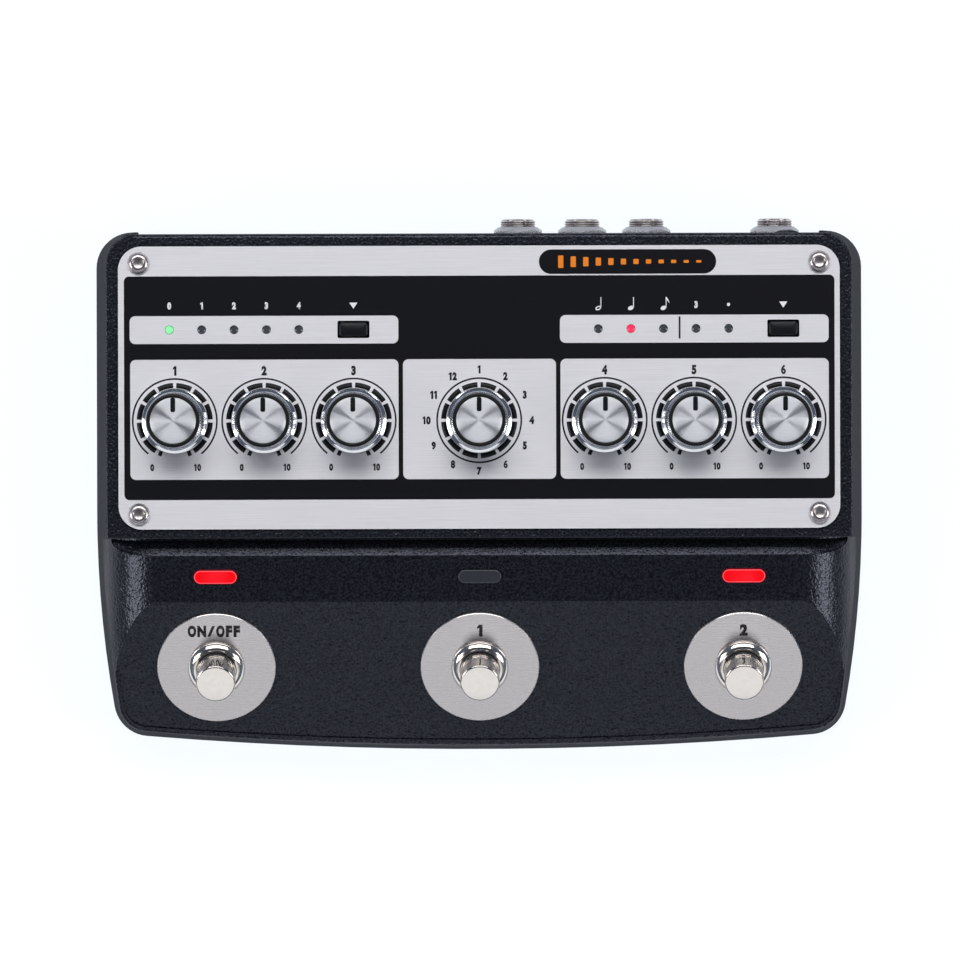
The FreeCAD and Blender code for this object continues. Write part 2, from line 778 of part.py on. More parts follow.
def make_knob():
    skirt_z = knob_low_z + knob_skirt_height
    body = turned([
        (0, knob_low_z),
        (knob_skirt_radius, knob_low_z),
        (knob_skirt_radius, knob_low_z + 0.5 * knob_skirt_height),
        (knob_skirt_radius - 0.45, skirt_z - 0.1),
        (knob_foot_radius, skirt_z),
        (knob_head_radius, knob_top_z - knob_rim_radius),
        (knob_head_radius - knob_rim_radius, knob_top_z),
        (0, knob_top_z),
    ])
    body = body.cut(rod(cap_radius + cap_gap, cap_floor_z, knob_top_z + 1))
    body = body.cut(rod(knob_hollow_radius, knob_low_z - 1, knob_low_z + knob_hollow_height))
    bore_radius = shaft_radius + running_gap
    flat = shaft_flat
    bore_top = shaft_top_z + 0.2
    bore = d_shaft(bore_radius, flat, knob_low_z - 1, bore_top, shaft_top_z - shaft_flat_length)
    return body.cut(bore)


def make_cap():
    edge = 0.2
    cap = turned([(0, cap_floor_z), (cap_radius, cap_floor_z), (cap_radius, knob_top_z - edge),
                  (cap_radius - edge, knob_top_z), (0, knob_top_z)])
    half = pointer_width / 2
    slot = box(-half, half, pointer_inner_radius + half, cap_radius + 1, cap_floor_z - 1, beyond)
    slot = slot.fuse(rod(half, cap_floor_z - 1, beyond, 0, pointer_inner_radius + half))
    return cap.cut(slot)


knob = make_knob()
cap = make_cap()
shaft = make_shaft()
for number, x in enumerate(pot_x, start=1):
    write("shaft_%d" % number, placed(shaft, x, knob_y, 0))
    write("knob_%d" % number, placed(knob, x, knob_y, 0))
    write("knob_cap_%d" % number, placed(cap, x, knob_y, 0))
write("selector_shaft", placed(shaft, selector_x, knob_y, 0))
write("selector_knob", placed(knob, selector_x, knob_y, 0))
write("selector_cap", placed(cap, selector_x, knob_y, 0))

# Panel lamps: round light pipes that stand on the control board


def make_lamp():
    top = panel_top_z + lamp_proud
    return turned([(0, control_board_top_z), (lamp_radius, control_board_top_z),
                   (lamp_radius, panel_top_z), (lamp_radius * 0.6, top - 0.05), (0, top)])


lamp = make_lamp()
lamps = [placed(lamp, x, y, 0) for x, y in lamp_places]
green_place = green_lamp
red_place = len(left_lamp_x) + red_lamp
unlit_lamps = [piece for place, piece in enumerate(lamps) if place not in (green_place, red_place)]
write("lamp_green", lamps[green_place])
write("lamp_red", lamps[red_place])
write("lamps_unlit", unlit_lamps)

# Buttons: a cap held under the roof by its flange, over a click switch on the board

flange_top_z = roof_z - end_gap
flange_low_z = flange_top_z - button_flange_thickness
tact_top_z = control_board_top_z + tact_height
stem_low_z = tact_top_z - end_gap
well_low_z = stem_low_z - button_travel - end_gap


def make_button():
    top = panel_top_z + button_proud
    cap = rounded_bar(button_length, button_width, button_corner, flange_low_z, top)
    crown = [e for e in cap.Edges if e.BoundBox.ZMin > top - 0.01]
    cap = cap.makeChamfer(button_corner * 0.6, crown)
    flange = rounded_bar(button_length + 2 * button_flange, button_width + 2 * button_flange,
                         button_corner, flange_low_z, flange_top_z)
    stem = rod(button_stem_radius, stem_low_z, flange_low_z + 0.5)
    return cap.fuse(flange).fuse(stem).removeSplitter()


def make_tact_switch():
    body = rounded_bar(tact_width, tact_width, 0.5, control_board_top_z, tact_top_z)
    return body.cut(rod(button_stem_radius + tact_well_gap, well_low_z, tact_top_z + 1))


button = make_button()
write("left_button", placed(button, button_x[0], lamp_y, 0))
write("right_button", placed(button, button_x[1], lamp_y, 0))
write("tact_switches", [placed(make_tact_switch(), x, y, 0) for x, y in button_places])

# Light bars: clear mouldings through the strip, with a flange under it and a board behind


def make_light_bar():
    bar = stadium(light_bar_length, light_bar_width, -light_bar_board_depth, light_bar_proud)
    crown = [e for e in bar.Edges if e.BoundBox.ZMin > light_bar_proud - 0.01]
    bar = bar.makeFillet(light_bar_proud * 0.8, crown)
    flange = stadium(light_bar_length + 2 * light_bar_flange, light_bar_width + 2 * light_bar_flange,
                     -wall - light_bar_flange_thickness, -wall)
    return bar.fuse(flange).removeSplitter()


def make_light_bar_board():
    half = light_bar_board_width / 2
    reach = light_bar_board_half_length
    top = -light_bar_board_depth
    board = box(-reach, reach, -half, half, top - board_thickness, top)
    holes = [rod(board_screw_radius + 0.15, -beyond, 0, x, 0) for x in light_bar_boss_x]
    return board.cut(holes)


light_bar = make_light_bar()
write("light_bars_lit", [at_strip(light_bar, foot_x[0]), at_strip(light_bar, foot_x[2])])
write("light_bar_unlit", at_strip(light_bar, foot_x[1]))
write("light_bar_board", at_strip(make_light_bar_board(), 0))

# Foot switches: housing under the plateau, washer and collar on it, sprung plunger

chamber_top = -wall - housing_roof
plunger_low = chamber_top - end_gap - plunger_flange_thickness
chamber_low = plunger_low - plunger_travel - spring_pressed_length
bushing_top = washer_thickness + collar_height - collar_lip_thickness - end_gap


def make_housing():
    width = housing_width
    body = rounded_bar(width, width, 1.5, chamber_low - housing_floor, -wall)
    body = body.fuse(rod(foot_bushing_radius, -wall - 0.5, bushing_top)).removeSplitter()
    body = body.cut(rod(plunger_radius + plunger_gap, chamber_top - 1, bushing_top + 1))
    return body.cut(rod(plunger_flange_radius + housing_chamber_gap, chamber_low, chamber_top))


def make_washer():
    disc = rod(washer_radius, 0, washer_thickness)
    rim = [e for e in disc.Edges if e.BoundBox.ZMin > washer_thickness - 0.01]
    disc = disc.makeChamfer(0.15, rim)
    return disc.cut(rod(foot_bushing_radius + foot_bushing_gap, -1, washer_thickness + 1))


def make_collar():
    """A turned ring screwed on the bushing, with a broad bevel and a lip over the bushing's end."""
    low = washer_thickness
    top = low + collar_height
    seat = top - collar_lip_thickness
    seat_radius = foot_bushing_radius + thread_gap
    return turned([
        (seat_radius, low),
        (collar_radius, low),
        (collar_radius, low + collar_wall_height),
        (collar_top_radius, top),
        (collar_lip_radius, top),
        (collar_lip_radius, seat),
        (seat_radius, seat),
    ])


def make_plunger():
    top = washer_thickness + plunger_height
    plunger = turned([
        (0, plunger_low),
        (plunger_flange_radius, plunger_low),
        (plunger_flange_radius, plunger_low + plunger_flange_thickness),
        (plunger_radius, plunger_low + plunger_flange_thickness),
        (plunger_radius, top - plunger_edge),
        (plunger_radius - plunger_edge, top),
        (0, top),
    ])
    return plunger


def make_spring():
    """An open coil between the plunger's flange and the chamber's floor, in quarter turns."""
    wire = spring_wire_radius
    low = chamber_low + wire + 0.05
    height = plunger_low - wire - 0.05 - low

    def at(turns):
        angle = 2 * math.pi * turns
        return V(spring_radius * math.cos(angle), spring_radius * math.sin(angle),
                 low + height * turns / spring_turns)

    quarters = [i / 4 for i in range(4 * spring_turns)]
    coil = Part.Wire([Part.Arc(at(t), at(t + 0.125), at(t + 0.25)).toShape() for t in quarters])
    section = Part.Wire(Part.makeCircle(wire, at(0), coil.Edges[0].tangentAt(0)))
    return coil.makePipeShell([section], True, False)


def rounded_path(points, radius):
    """A wire of straight runs joined by tangent arcs."""
    edges = []
    last = points[0]
    for before, corner, after in zip(points, points[1:], points[2:]):
        into = (corner - before).normalize()
        out = (after - corner).normalize()
        half_turn = into.getAngle(out) / 2
        back = radius * math.tan(half_turn)
        start = corner - into * back
        end = corner + out * back
        inward = (out - into).normalize()
        middle = corner + inward * (radius / math.cos(half_turn) - radius)
        edges.append(Part.makeLine(last, start))
        edges.append(Part.Arc(start, middle, end).toShape())
        last = end
    edges.append(Part.makeLine(last, points[-1]))
    return Part.Wire(edges)


def make_lead(x):
    """The lead from a foot switch housing to the main board."""
    tilt = math.radians(plateau_angle)
    up_slope = V(0, math.cos(tilt), math.sin(tilt))
    outward = V(0, -math.sin(tilt), math.cos(tilt))
    centre = V(x, foot_switch_y, foot_switch_z)
    start = centre - outward * lead_depth + up_slope * (housing_width / 2)
    points = [start, start + up_slope * lead_straight, V(x, lead_end_y, lead_high_z),
              V(x, lead_end_y, main_board_top_z)]
    section = Part.Wire(Part.makeCircle(lead_radius, start, up_slope))
    return rounded_path(points, lead_bend_radius).makePipeShell([section], True, False)


write("footswitch_housings", [at_plateau(make_housing(), x) for x in foot_x])
write("footswitch_washers", [at_plateau(make_washer(), x) for x in foot_x])
write("footswitch_collars", [at_plateau(make_collar(), x) for x in foot_x])
write("plunger_springs", [at_plateau(make_spring(), x) for x in foot_x])
write("footswitch_leads", [make_lead(x) for x in foot_x])
plunger = make_plunger()
write("plunger_left", at_plateau(plunger, foot_x[0]))
write("plunger_middle", at_plateau(plunger, foot_x[1]))
write("plunger_right", at_plateau(plunger, foot_x[2]))

# Circuit boards, their spacers, screws, chips and the link between them


def make_board(half, front, rear, low, places):
    board = box(-half, half, front, rear, low, low + board_thickness)
    holes = [rod(board_screw_radius + 0.15, low - 1, beyond, x, y) for x, y in places]
    return board.cut(holes)


def make_spacer(z0, z1):
    spacer = hexagon(2 * spacer_radius * math.cos(math.radians(30)), z0, z1)
    return spacer.cut(rod(board_screw_radius + thread_gap, z0 - 1, z1 + 1))


control_spacers = corners(control_board_half_width - control_spacer_inset_side,
                          control_board_rear_y - control_spacer_inset_rear)
control_spacers += corners(selector_width / 2 + control_spacer_beside_selector,
                           control_board_front_y + control_spacer_inset_front)
main_spacer_x = main_board_half_width - main_spacer_inset_side
main_spacers = corners(main_spacer_x, main_board_rear_y - main_spacer_inset_rear)
main_spacers += corners(main_spacer_x, main_board_front_y + main_spacer_inset_front)
write("control_board", make_board(control_board_half_width, control_board_front_y,
                                  control_board_rear_y, control_board_z, control_spacers))
write("main_board", make_board(main_board_half_width, main_board_front_y, main_board_rear_y,
                               main_board_z, main_spacers))
spacers = [placed(make_spacer(control_board_top_z, roof_z), x, y, 0) for x, y in control_spacers]
spacers += [placed(make_spacer(plate_top_z, main_board_z), x, y, 0) for x, y in main_spacers]
write("board_spacers", spacers)
board_screw = cross_screw(board_screw_radius, board_screw_length, board_screw_head_radius,
                          board_screw_head_height)
screws = [placed(board_screw, x, y, control_board_z, 180) for x, y in control_spacers]
screws += [placed(board_screw, x, y, main_board_top_z) for x, y in main_spacers]
strip_screw = placed(board_screw, 0, 0, -light_bar_board_depth - board_thickness, 180)
screws += [at_strip(strip_screw, x) for x in light_bar_boss_x]
write("board_screws", screws)
write("board_link", box(-board_link_length / 2, board_link_length / 2,
                        board_link_y - board_link_width / 2, board_link_y + board_link_width / 2,
                        main_board_top_z, control_board_z))


def make_chip(x, y, size):
    half = size / 2
    return box(x - half, x + half, y - half, y + half, main_board_top_z, main_board_top_z + chip_height)


write("board_chips", [make_chip(x, main_board_rear_y - inset, size) for x, inset, size in chips])

# Sockets behind the rear wall, standing on the main board


def on_board(width, height, length):
    """A socket's block behind the rear wall, in the rear face's own frame."""
    return box(-width / 2, width / 2, -height / 2, height / 2, -wall - length, -wall)


def make_jack_block():
    """The moulded block of a quarter-inch socket, with a seat for its sleeve."""
    tip = jack_tip_y - rear_face_y
    block = box(-jack_body_width / 2, jack_body_width / 2, -jack_body_height / 2,
                jack_z - main_board_top_z, -wall - jack_body_length, -wall)
    block = block.cut(rod(jack_bore_radius, tip - jack_bore_depth, 1))
    return block.cut(rod(jack_thread_radius + thread_gap, -wall - jack_sleeve_seat, 1))


def make_jack_sleeve():
    """The threaded sleeve that a plug goes into, with its last threads cut clear of the nut."""
    tip = jack_tip_y - rear_face_y
    pitch = jack_thread_pitch
    crest = jack_thread_radius
    root = crest - jack_thread_depth
    low = -wall - jack_sleeve_seat
    profile = [(jack_bore_radius, low), (crest, low)]
    first = tip - jack_threads_shown * pitch
    for turn in range(jack_threads_shown):
        z = first + turn * pitch
        profile += [(crest, z), (root, z + 0.35 * pitch), (root, z + 0.5 * pitch),
                    (crest, z + 0.85 * pitch)]
    profile += [(crest, tip - 0.05), (crest - 0.1, tip), (jack_bore_radius, tip)]
    return turned(profile)


def make_jack_nut():
    nut = hexagon(jack_nut_flats, 0, jack_nut_height)
    nut.rotate(V(0, 0, 0), Z_AXIS, 30)
    top = jack_nut_height
    corner = jack_nut_flats / 2 / math.cos(math.radians(30))
    cone = turned([(0, -1), (corner, -1), (corner, top - jack_nut_bevel_height), (jack_nut_face_radius, top),
                   (0, top)])
    return nut.common(cone).cut(rod(jack_thread_radius + thread_gap, -1, top + 1))


def make_midi_socket():
    body = on_board(midi_width, midi_height, midi_length)
    body = body.fuse(rod(midi_nose_radius, -wall - 1, 0)).removeSplitter()
    slot = rod(midi_slot_outer, -midi_slot_depth, 1).cut(rod(midi_slot_inner, -midi_slot_depth - 1, 2))
    contacts = [rod(midi_contact_radius, -midi_slot_depth, 1,
                    midi_contact_circle * math.cos(math.radians(a)),
                    midi_contact_circle * math.sin(math.radians(a))) for a in midi_contact_angles]
    return body.cut([slot] + contacts)


def make_usb_port():
    depth = -usb_length
    shell = stadium(usb_width, usb_height, depth, -0.2)
    inside = stadium(usb_width - 2 * usb_shell, usb_height - 2 * usb_shell, depth + 1, 1)
    half_width_of_tongue = usb_tongue_width / 2
    half = usb_tongue_thickness / 2
    tongue = box(-half_width_of_tongue, half_width_of_tongue, -half, half, depth + 0.5, -1.5)
    return shell.cut(inside).fuse(tongue).removeSplitter()


def make_power_inlet():
    body = on_board(inlet_width, inlet_height, inlet_length)
    body = body.fuse(rod(inlet_nose_radius, -wall - 1, -0.3)).removeSplitter()
    body = body.cut(rod(inlet_bore_radius, -inlet_bore_depth, 1))
    pin = rod(inlet_pin_radius, -inlet_bore_depth - 0.5, -inlet_pin_setback)
    return body.fuse(pin).removeSplitter()


write("jack_bodies", [facing_rear(make_jack_block(), x, jack_z) for x in jack_x])
write("jack_sleeves", [facing_rear(make_jack_sleeve(), x, jack_z) for x in jack_x])
write("jack_nuts", [facing_rear(make_jack_nut(), x, jack_z) for x in jack_x])
write("midi_sockets", [facing_rear(make_midi_socket(), x, main_board_top_z + midi_height / 2)
                       for x in midi_x])
write("usb_port", facing_rear(make_usb_port(), usb_x, main_board_top_z + usb_height / 2))
write("power_inlet", facing_rear(make_power_inlet(), inlet_x, main_board_top_z + inlet_height / 2))
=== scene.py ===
import math

import bmesh
import bpy
from mathutils import Matrix, Vector


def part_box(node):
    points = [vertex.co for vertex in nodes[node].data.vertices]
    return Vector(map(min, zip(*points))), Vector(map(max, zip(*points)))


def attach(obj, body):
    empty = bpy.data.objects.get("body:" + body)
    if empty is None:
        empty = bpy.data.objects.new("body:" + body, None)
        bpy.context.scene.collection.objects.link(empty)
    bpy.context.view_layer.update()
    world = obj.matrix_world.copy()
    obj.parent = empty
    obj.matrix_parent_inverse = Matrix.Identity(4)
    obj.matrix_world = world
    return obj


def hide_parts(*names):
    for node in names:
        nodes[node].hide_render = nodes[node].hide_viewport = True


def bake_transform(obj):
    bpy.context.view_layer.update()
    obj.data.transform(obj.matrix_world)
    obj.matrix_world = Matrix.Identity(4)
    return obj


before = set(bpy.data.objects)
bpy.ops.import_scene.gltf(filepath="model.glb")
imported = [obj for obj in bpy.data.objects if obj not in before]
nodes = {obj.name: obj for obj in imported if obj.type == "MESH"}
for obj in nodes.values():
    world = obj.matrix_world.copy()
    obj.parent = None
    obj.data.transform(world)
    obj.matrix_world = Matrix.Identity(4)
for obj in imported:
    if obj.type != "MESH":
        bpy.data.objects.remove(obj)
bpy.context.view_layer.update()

MM = 0.001


# Case: a die-cast shell with a coarse black powder coat, sprayed on and baked. The coat shrinks into
# small glossy bumps on the upper faces, and runs smoother and more matt down the flared wall.

def linear(hex_colour):
    """An sRGB hex colour as linear red, green, blue and alpha."""
    parts = [int(hex_colour[i:i + 2], 16) / 255 for i in (1, 3, 5)]
    return [p / 12.92 if p <= 0.04045 else ((p + 0.055) / 1.055) ** 2.4 for p in parts] + [1.0]


def add_node(tree, kind, settings=(), links=()):
    """Adds a node. Each link is an input's name or number, and a value or the socket it comes from."""
    node = tree.nodes.new(kind)
    for name, value in dict(settings).items():
        setattr(node, name, value)
    for name, value in dict(links).items():
        if isinstance(value, bpy.types.NodeSocket):
            tree.links.new(value, node.inputs[name])
        else:
            node.inputs[name].default_value = value
    return node


def finish_named(name, **values):
    """A new material and its shader, with plain values on the shader's own sockets."""
    material = bpy.data.materials.new(name)
    material.use_nodes = True
    shader = material.node_tree.nodes["Principled BSDF"]
    for socket, value in values.items():
        shader.inputs[socket.replace("_", " ")].default_value = value
    return material, material.node_tree, shader


def feed(shader, **outputs):
    """Links outputs to the shader's own sockets."""
    for socket, output in outputs.items():
        shader.id_data.links.new(output, shader.inputs[socket.replace("_", " ")])


def object_grain(tree, per_mm, kind="ShaderNodeTexNoise", **links):
    """A texture in the object's own coordinates, with so many grains to the millimetre along X, Y and Z."""
    where = add_node(tree, "ShaderNodeTexCoord").outputs["Object"]
    scaled = add_node(tree, "ShaderNodeMapping", links={0: where, "Scale": [s / MM for s in per_mm]})
    return add_node(tree, kind, links={"Vector": scaled.outputs[0], "Scale": 1.0, **links})


def dress(node, material):
    """Gives a carried-over solid its finish."""
    mesh = nodes[node].data
    mesh.materials.clear()
    mesh.materials.append(material)


COAT_PEBBLES_PER_MM = 1.4
COAT_PITS_PER_MM = 1.8
COAT_BENDS_PER_MM = 0.8      # the rows of pebbles bend this often, by up to the swirl
COAT_SWIRL = 0.9 * MM
COAT_RELIEF = 0.08 * MM

coat, tree, shader = finish_named("powder_coat", Specular_IOR_Level=0.45, Specular_Tint=linear("#E6EBFF"))
wander = object_grain(tree, [COAT_BENDS_PER_MM] * 3, Detail=1.0)
where = add_node(tree, "ShaderNodeTexCoord")
swirled = add_node(tree, "ShaderNodeVectorMath", {"operation": "MULTIPLY_ADD"},
                   {0: wander.outputs["Color"], 1: [COAT_SWIRL] * 3, 2: where.outputs["Object"]})
scaled = add_node(tree, "ShaderNodeMapping",
                  links={0: swirled.outputs[0], "Scale": [COAT_PEBBLES_PER_MM / MM] * 3})
pebbles = add_node(tree, "ShaderNodeTexVoronoi", links={"Vector": scaled.outputs[0], "Scale": 1.0})
crowns = add_node(tree, "ShaderNodeMath", {"operation": "POWER"}, {0: pebbles.outputs["Distance"], 1: 2.0})
pits = object_grain(tree, [COAT_PITS_PER_MM] * 3, Detail=1.0)
coat_height = add_node(tree, "ShaderNodeMath", {"operation": "MULTIPLY_ADD"},
                       {0: crowns.outputs[0], 1: -0.8, 2: pits.outputs[0]})

# How far a face looks up decides how coarse and how glossy its coat is.
facing = add_node(tree, "ShaderNodeNewGeometry")
upward = add_node(tree, "ShaderNodeSeparateXYZ", links={0: facing.outputs["Normal"]})
coarse = add_node(tree, "ShaderNodeMapRange", {"interpolation_type": "SMOOTHSTEP"},
                  {0: upward.outputs["Z"], 1: 0.2, 2: 0.75, 3: 0.12, 4: 1.0})
relief = add_node(tree, "ShaderNodeBump", links={"Strength": coarse.outputs[0], "Distance": COAT_RELIEF,
                                                "Height": coat_height.outputs[0]})
matt = add_node(tree, "ShaderNodeMapRange", {"interpolation_type": "SMOOTHSTEP"},
                {0: upward.outputs["Z"], 1: 0.1, 2: 0.6, 3: 1.0, 4: 0.24})
shade = add_node(tree, "ShaderNodeMapRange", links={0: pits.outputs[0], 1: 0.35, 2: 0.65})
tint = add_node(tree, "ShaderNodeMix", {"data_type": "RGBA"},
                {0: shade.outputs[0], 6: linear("#07080A"), 7: linear("#1E2127")})
feed(shader, Base_Color=tint.outputs[2], Roughness=matt.outputs[0], Normal=relief.outputs[0])
dress("top_case", coat)


# Base: a pressed steel plate under the case, four moulded rubber feet and six screws.
# The plate has smooth black paint, the feet are matt and the screws are zinc plated.

def grained(name, per_mm, detail, dark, light, strength=0.0, depth=0.0, **values):
    """A paint, ink or moulding whose colour, and perhaps its relief, follows a fine grain."""
    material, tree, shader = finish_named(name, **values)
    grain = object_grain(tree, [per_mm] * 3, Detail=detail)
    tint = add_node(tree, "ShaderNodeMix", {"data_type": "RGBA"},
                    {0: grain.outputs[0], 6: linear(dark), 7: linear(light)})
    feed(shader, Base_Color=tint.outputs[2])
    if strength:
        relief = add_node(tree, "ShaderNodeBump",
                          links={"Strength": strength, "Distance": depth, "Height": grain.outputs[0]})
        feed(shader, Normal=relief.outputs[0])
    return material


# The paint is an even, half-matt black with a faint orange peel, about 2 mm across.
dress("bottom_plate", grained("smooth_black_paint", 0.5, 2.0, "#17181A", "#222326", 0.3, 0.05 * MM,
                              Roughness=0.5))
# Rubber comes out of its mould matt and a little gritty.
dress("rubber_feet", grained("moulded_rubber", 4.0, 3.0, "#101011", "#1F1F21", 0.4, 0.05 * MM,
                             Roughness=0.8))
# Zinc plate is a pale satin grey, mottled by crystals of about 1 mm.
zinc, tree, shader = finish_named("zinc_plate", Metallic=1.0)
spangle = object_grain(tree, [0.8] * 3, "ShaderNodeTexVoronoi")
tint = add_node(tree, "ShaderNodeMix", {"data_type": "RGBA"},
                {0: spangle.outputs["Distance"], 6: linear("#C9CBD0"), 7: linear("#A8ABB2")})
rough = add_node(tree, "ShaderNodeMapRange", links={0: spangle.outputs["Distance"], 3: 0.28, 4: 0.42})
feed(shader, Base_Color=tint.outputs[2], Roughness=rough.outputs[0])
for node in ("base_screws", "board_screws", "usb_port", "selector_body", "pot_bodies", "pot_nuts"):
    dress(node, zinc)


# Inside the case: two main boards and a strip board of glass laminate under green solder mask,
# with moulded chips, a block of header pins, turned spacers, click switches and black leads.

# Solder mask is a glossy green lacquer, darker and lighter over the threads of the glass cloth.
mask, tree, shader = finish_named("green_solder_mask", Roughness=0.35)
weave = object_grain(tree, [1.6, 1.6, 0.1], "ShaderNodeTexChecker", Color1=linear("#0B3B1C"),
                     Color2=linear("#0D4622"))
feed(shader, Base_Color=weave.outputs[0])
for node in ("control_board", "main_board", "light_bar_board"):
    dress(node, mask)

# Moulded plastic is half matt, with the fine grain of its mould.
moulding = grained("moulded_black_plastic", 5.0, 2.0, "#131416", "#1D1E21", 0.25, 0.03 * MM, Roughness=0.55)
for node in ("board_chips", "board_link", "tact_switches", "footswitch_housings", "footswitch_leads",
             "jack_bodies", "midi_sockets", "power_inlet"):
    dress(node, moulding)

# Turned metal is bright, with fine rings from the tool. The springs' drawn wire shines like it.
turned_metal, tree, shader = finish_named("turned_aluminium", Metallic=1.0, Roughness=0.32)
rings = object_grain(tree, [0.05, 0.05, 3.0], Detail=1.0)
tint = add_node(tree, "ShaderNodeMix", {"data_type": "RGBA"},
                {0: rings.outputs[0], 6: linear("#C4C6CA"), 7: linear("#E2E3E6")})
feed(shader, Base_Color=tint.outputs[2])
shafts = ["shaft_%d" % i for i in range(1, 7)] + ["selector_shaft"]
for node in ["board_spacers"] + shafts:
    dress(node, turned_metal)


# Control panel: a stamped aluminium plate, brushed from side to side before it was printed. It gleams in
# long pale streaks. The scratches are about 0.05 mm wide, drawn here at 0.15 mm so that they show.

def brushed_metal(name, along, across, dark, light, smooth, rough, anisotropic):
    """Metal brushed along X, with so many scratches to the millimetre along and across their length."""
    material, tree, shader = finish_named(name, Metallic=1.0, Anisotropic=anisotropic)
    scratches = object_grain(tree, [along, across, across], Detail=2.0, Roughness=0.7)
    tint = add_node(tree, "ShaderNodeMix", {"data_type": "RGBA"},
                    {0: scratches.outputs[0], 6: linear(dark), 7: linear(light)})
    blur = add_node(tree, "ShaderNodeMapRange", links={0: scratches.outputs[0], 3: smooth, 4: rough})
    relief = add_node(tree, "ShaderNodeBump", links={"Strength": 0.25, "Distance": 0.01 * MM,
                                                    "Height": scratches.outputs[0]})
    lie = add_node(tree, "ShaderNodeTangent", {"direction_type": "RADIAL", "axis": "X"})
    feed(shader, Base_Color=tint.outputs[2], Roughness=blur.outputs[0], Normal=relief.outputs[0],
         Tangent=lie.outputs[0])
    return material


dress("control_panel", brushed_metal("brushed_aluminium", 0.06, 7.0, "#D9D8DC", "#F8F7FA", 0.46, 0.6, 0.75))


# Panel print: black screen ink with windows that leave the brushed metal bare, and white figures.
# The ink lies on the plate as a thin even film.

def middle_of(node):
    """The middle of a solid's box."""
    low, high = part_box(node)
    return (low + high) / 2


PANEL_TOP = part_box("control_panel")[1].z
INK_THICKNESS = 0.03 * MM
CORNER_STEPS = 8
KNOB_X = [middle_of("knob_%d" % i).x for i in range(1, 7)]
KNOB_Y = middle_of("knob_1").y

# Screen ink dries to a low sheen, a little paler where the mesh held less of it.
black_ink, white_ink, orange_ink = [
    grained(name, 1.5, 2.0, dark, light, Roughness=0.3, Specular_IOR_Level=0.3)
    for name, dark, light in (("black_screen_ink", "#08090D", "#0E0F14"),
                              ("white_screen_ink", "#DDDDE0", "#EDEDEF"),
                              ("orange_screen_ink", "#E07A1E", "#F08A2C"))]


def rounded_corners(x0, x1, y0, y1, radius):
    """The outline of a rectangle with round corners, anticlockwise."""
    points = []
    for cx, cy, start in ((x1 - radius, y1 - radius, 0), (x0 + radius, y1 - radius, 90),
                          (x0 + radius, y0 + radius, 180), (x1 - radius, y0 + radius, 270)):
        for step in range(CORNER_STEPS + 1):
            angle = math.radians(start + 90 * step / CORNER_STEPS)
            points.append((cx + radius * math.cos(angle), cy + radius * math.sin(angle)))
    return points


def place_mesh(name, mesh, material, body):
    """Closes a mesh's seams, turns its faces outwards and makes it a piece that rides on a body."""
    work = bmesh.new()
    work.from_mesh(mesh)
    bmesh.ops.remove_doubles(work, verts=work.verts, dist=1e-7)
    bmesh.ops.recalc_face_normals(work, faces=work.faces)
    work.to_mesh(mesh)
    work.free()
    mesh.name = name
    mesh.materials.clear()
    mesh.materials.append(material)
    piece = bpy.data.objects.new(name, mesh)
    bpy.context.scene.collection.objects.link(piece)
    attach(piece, body)
    return piece


def as_mesh(curve_data, place=Matrix.Identity(4)):
    """The mesh of a curve or text, moved to its place."""
    holder = bpy.data.objects.new("holder", curve_data)
    bpy.context.scene.collection.objects.link(holder)
    ready = holder.evaluated_get(bpy.context.evaluated_depsgraph_get())
    mesh = bpy.data.meshes.new_from_object(ready)
    mesh.transform(place)
    bpy.data.objects.remove(holder)
    bpy.data.curves.remove(curve_data)
    return mesh


def film(outlines):
    """A flat film of ink between outlines in millimetres, where an outline inside another is a hole."""
    curve = bpy.data.curves.new("film", "CURVE")
    curve.dimensions = "2D"
    curve.fill_mode = "BOTH"
    curve.extrude = INK_THICKNESS / 2
    for points in outlines:
        spline = curve.splines.new("POLY")
        spline.points.add(len(points) - 1)
        for point, (x, y) in zip(spline.points, points):
            point.co = (x * MM, y * MM, 0, 1)
        spline.use_cyclic_u = True
    return as_mesh(curve, Matrix.Translation((0, 0, INK_THICKNESS / 2)))


def joined(meshes):
    """Several meshes as one."""
    work = bmesh.new()
    for mesh in meshes:
        work.from_mesh(mesh)
        bpy.data.meshes.remove(mesh)
    whole = bpy.data.meshes.new("joined")
    work.to_mesh(whole)
    work.free()
    return whole


def printed(name, meshes, ink, layers=0):
    """Prints meshes on the panel as one piece, over so many layers of ink."""
    mesh = joined(meshes)
    mesh.transform(Matrix.Translation((0, 0, PANEL_TOP + layers * INK_THICKNESS)))
    place_mesh(name, mesh, ink, "case")


# Each outline gives x0, x1, y0, y1 and its corners' radius.
FIELD = (-87.7, 87.85, -3.75, 51.5, 1.3)
WINDOWS = [(-86.3, -19.9, 34.8, 41.7, 1.4), (20.0, 86.4, 34.8, 41.7, 1.4),
           (-86.2, -19.9, 1.25, 30.9, 1.4), (-18.8, 19.0, 1.25, 30.9, 1.4), (20.1, 86.4, 1.25, 30.9, 1.4)]
TITLE_BAR = (14.85, 58.65, 51.85, 57.9, 3.0)
LAMP_DIVIDER = (49.35, 49.8, 35.8, 41.3, 0.1)

printed("panel_print", [film([rounded_corners(*edges) for edges in [FIELD] + WINDOWS])], black_ink)
printed("panel_bars", [film([rounded_corners(*edges)]) for edges in (TITLE_BAR, LAMP_DIVIDER)], black_ink)


# Dial rings: black printed arcs round each knob, with a thin outer line and two short end blocks.
# The selector has a full ring of twelve arcs, one for each of its positions.

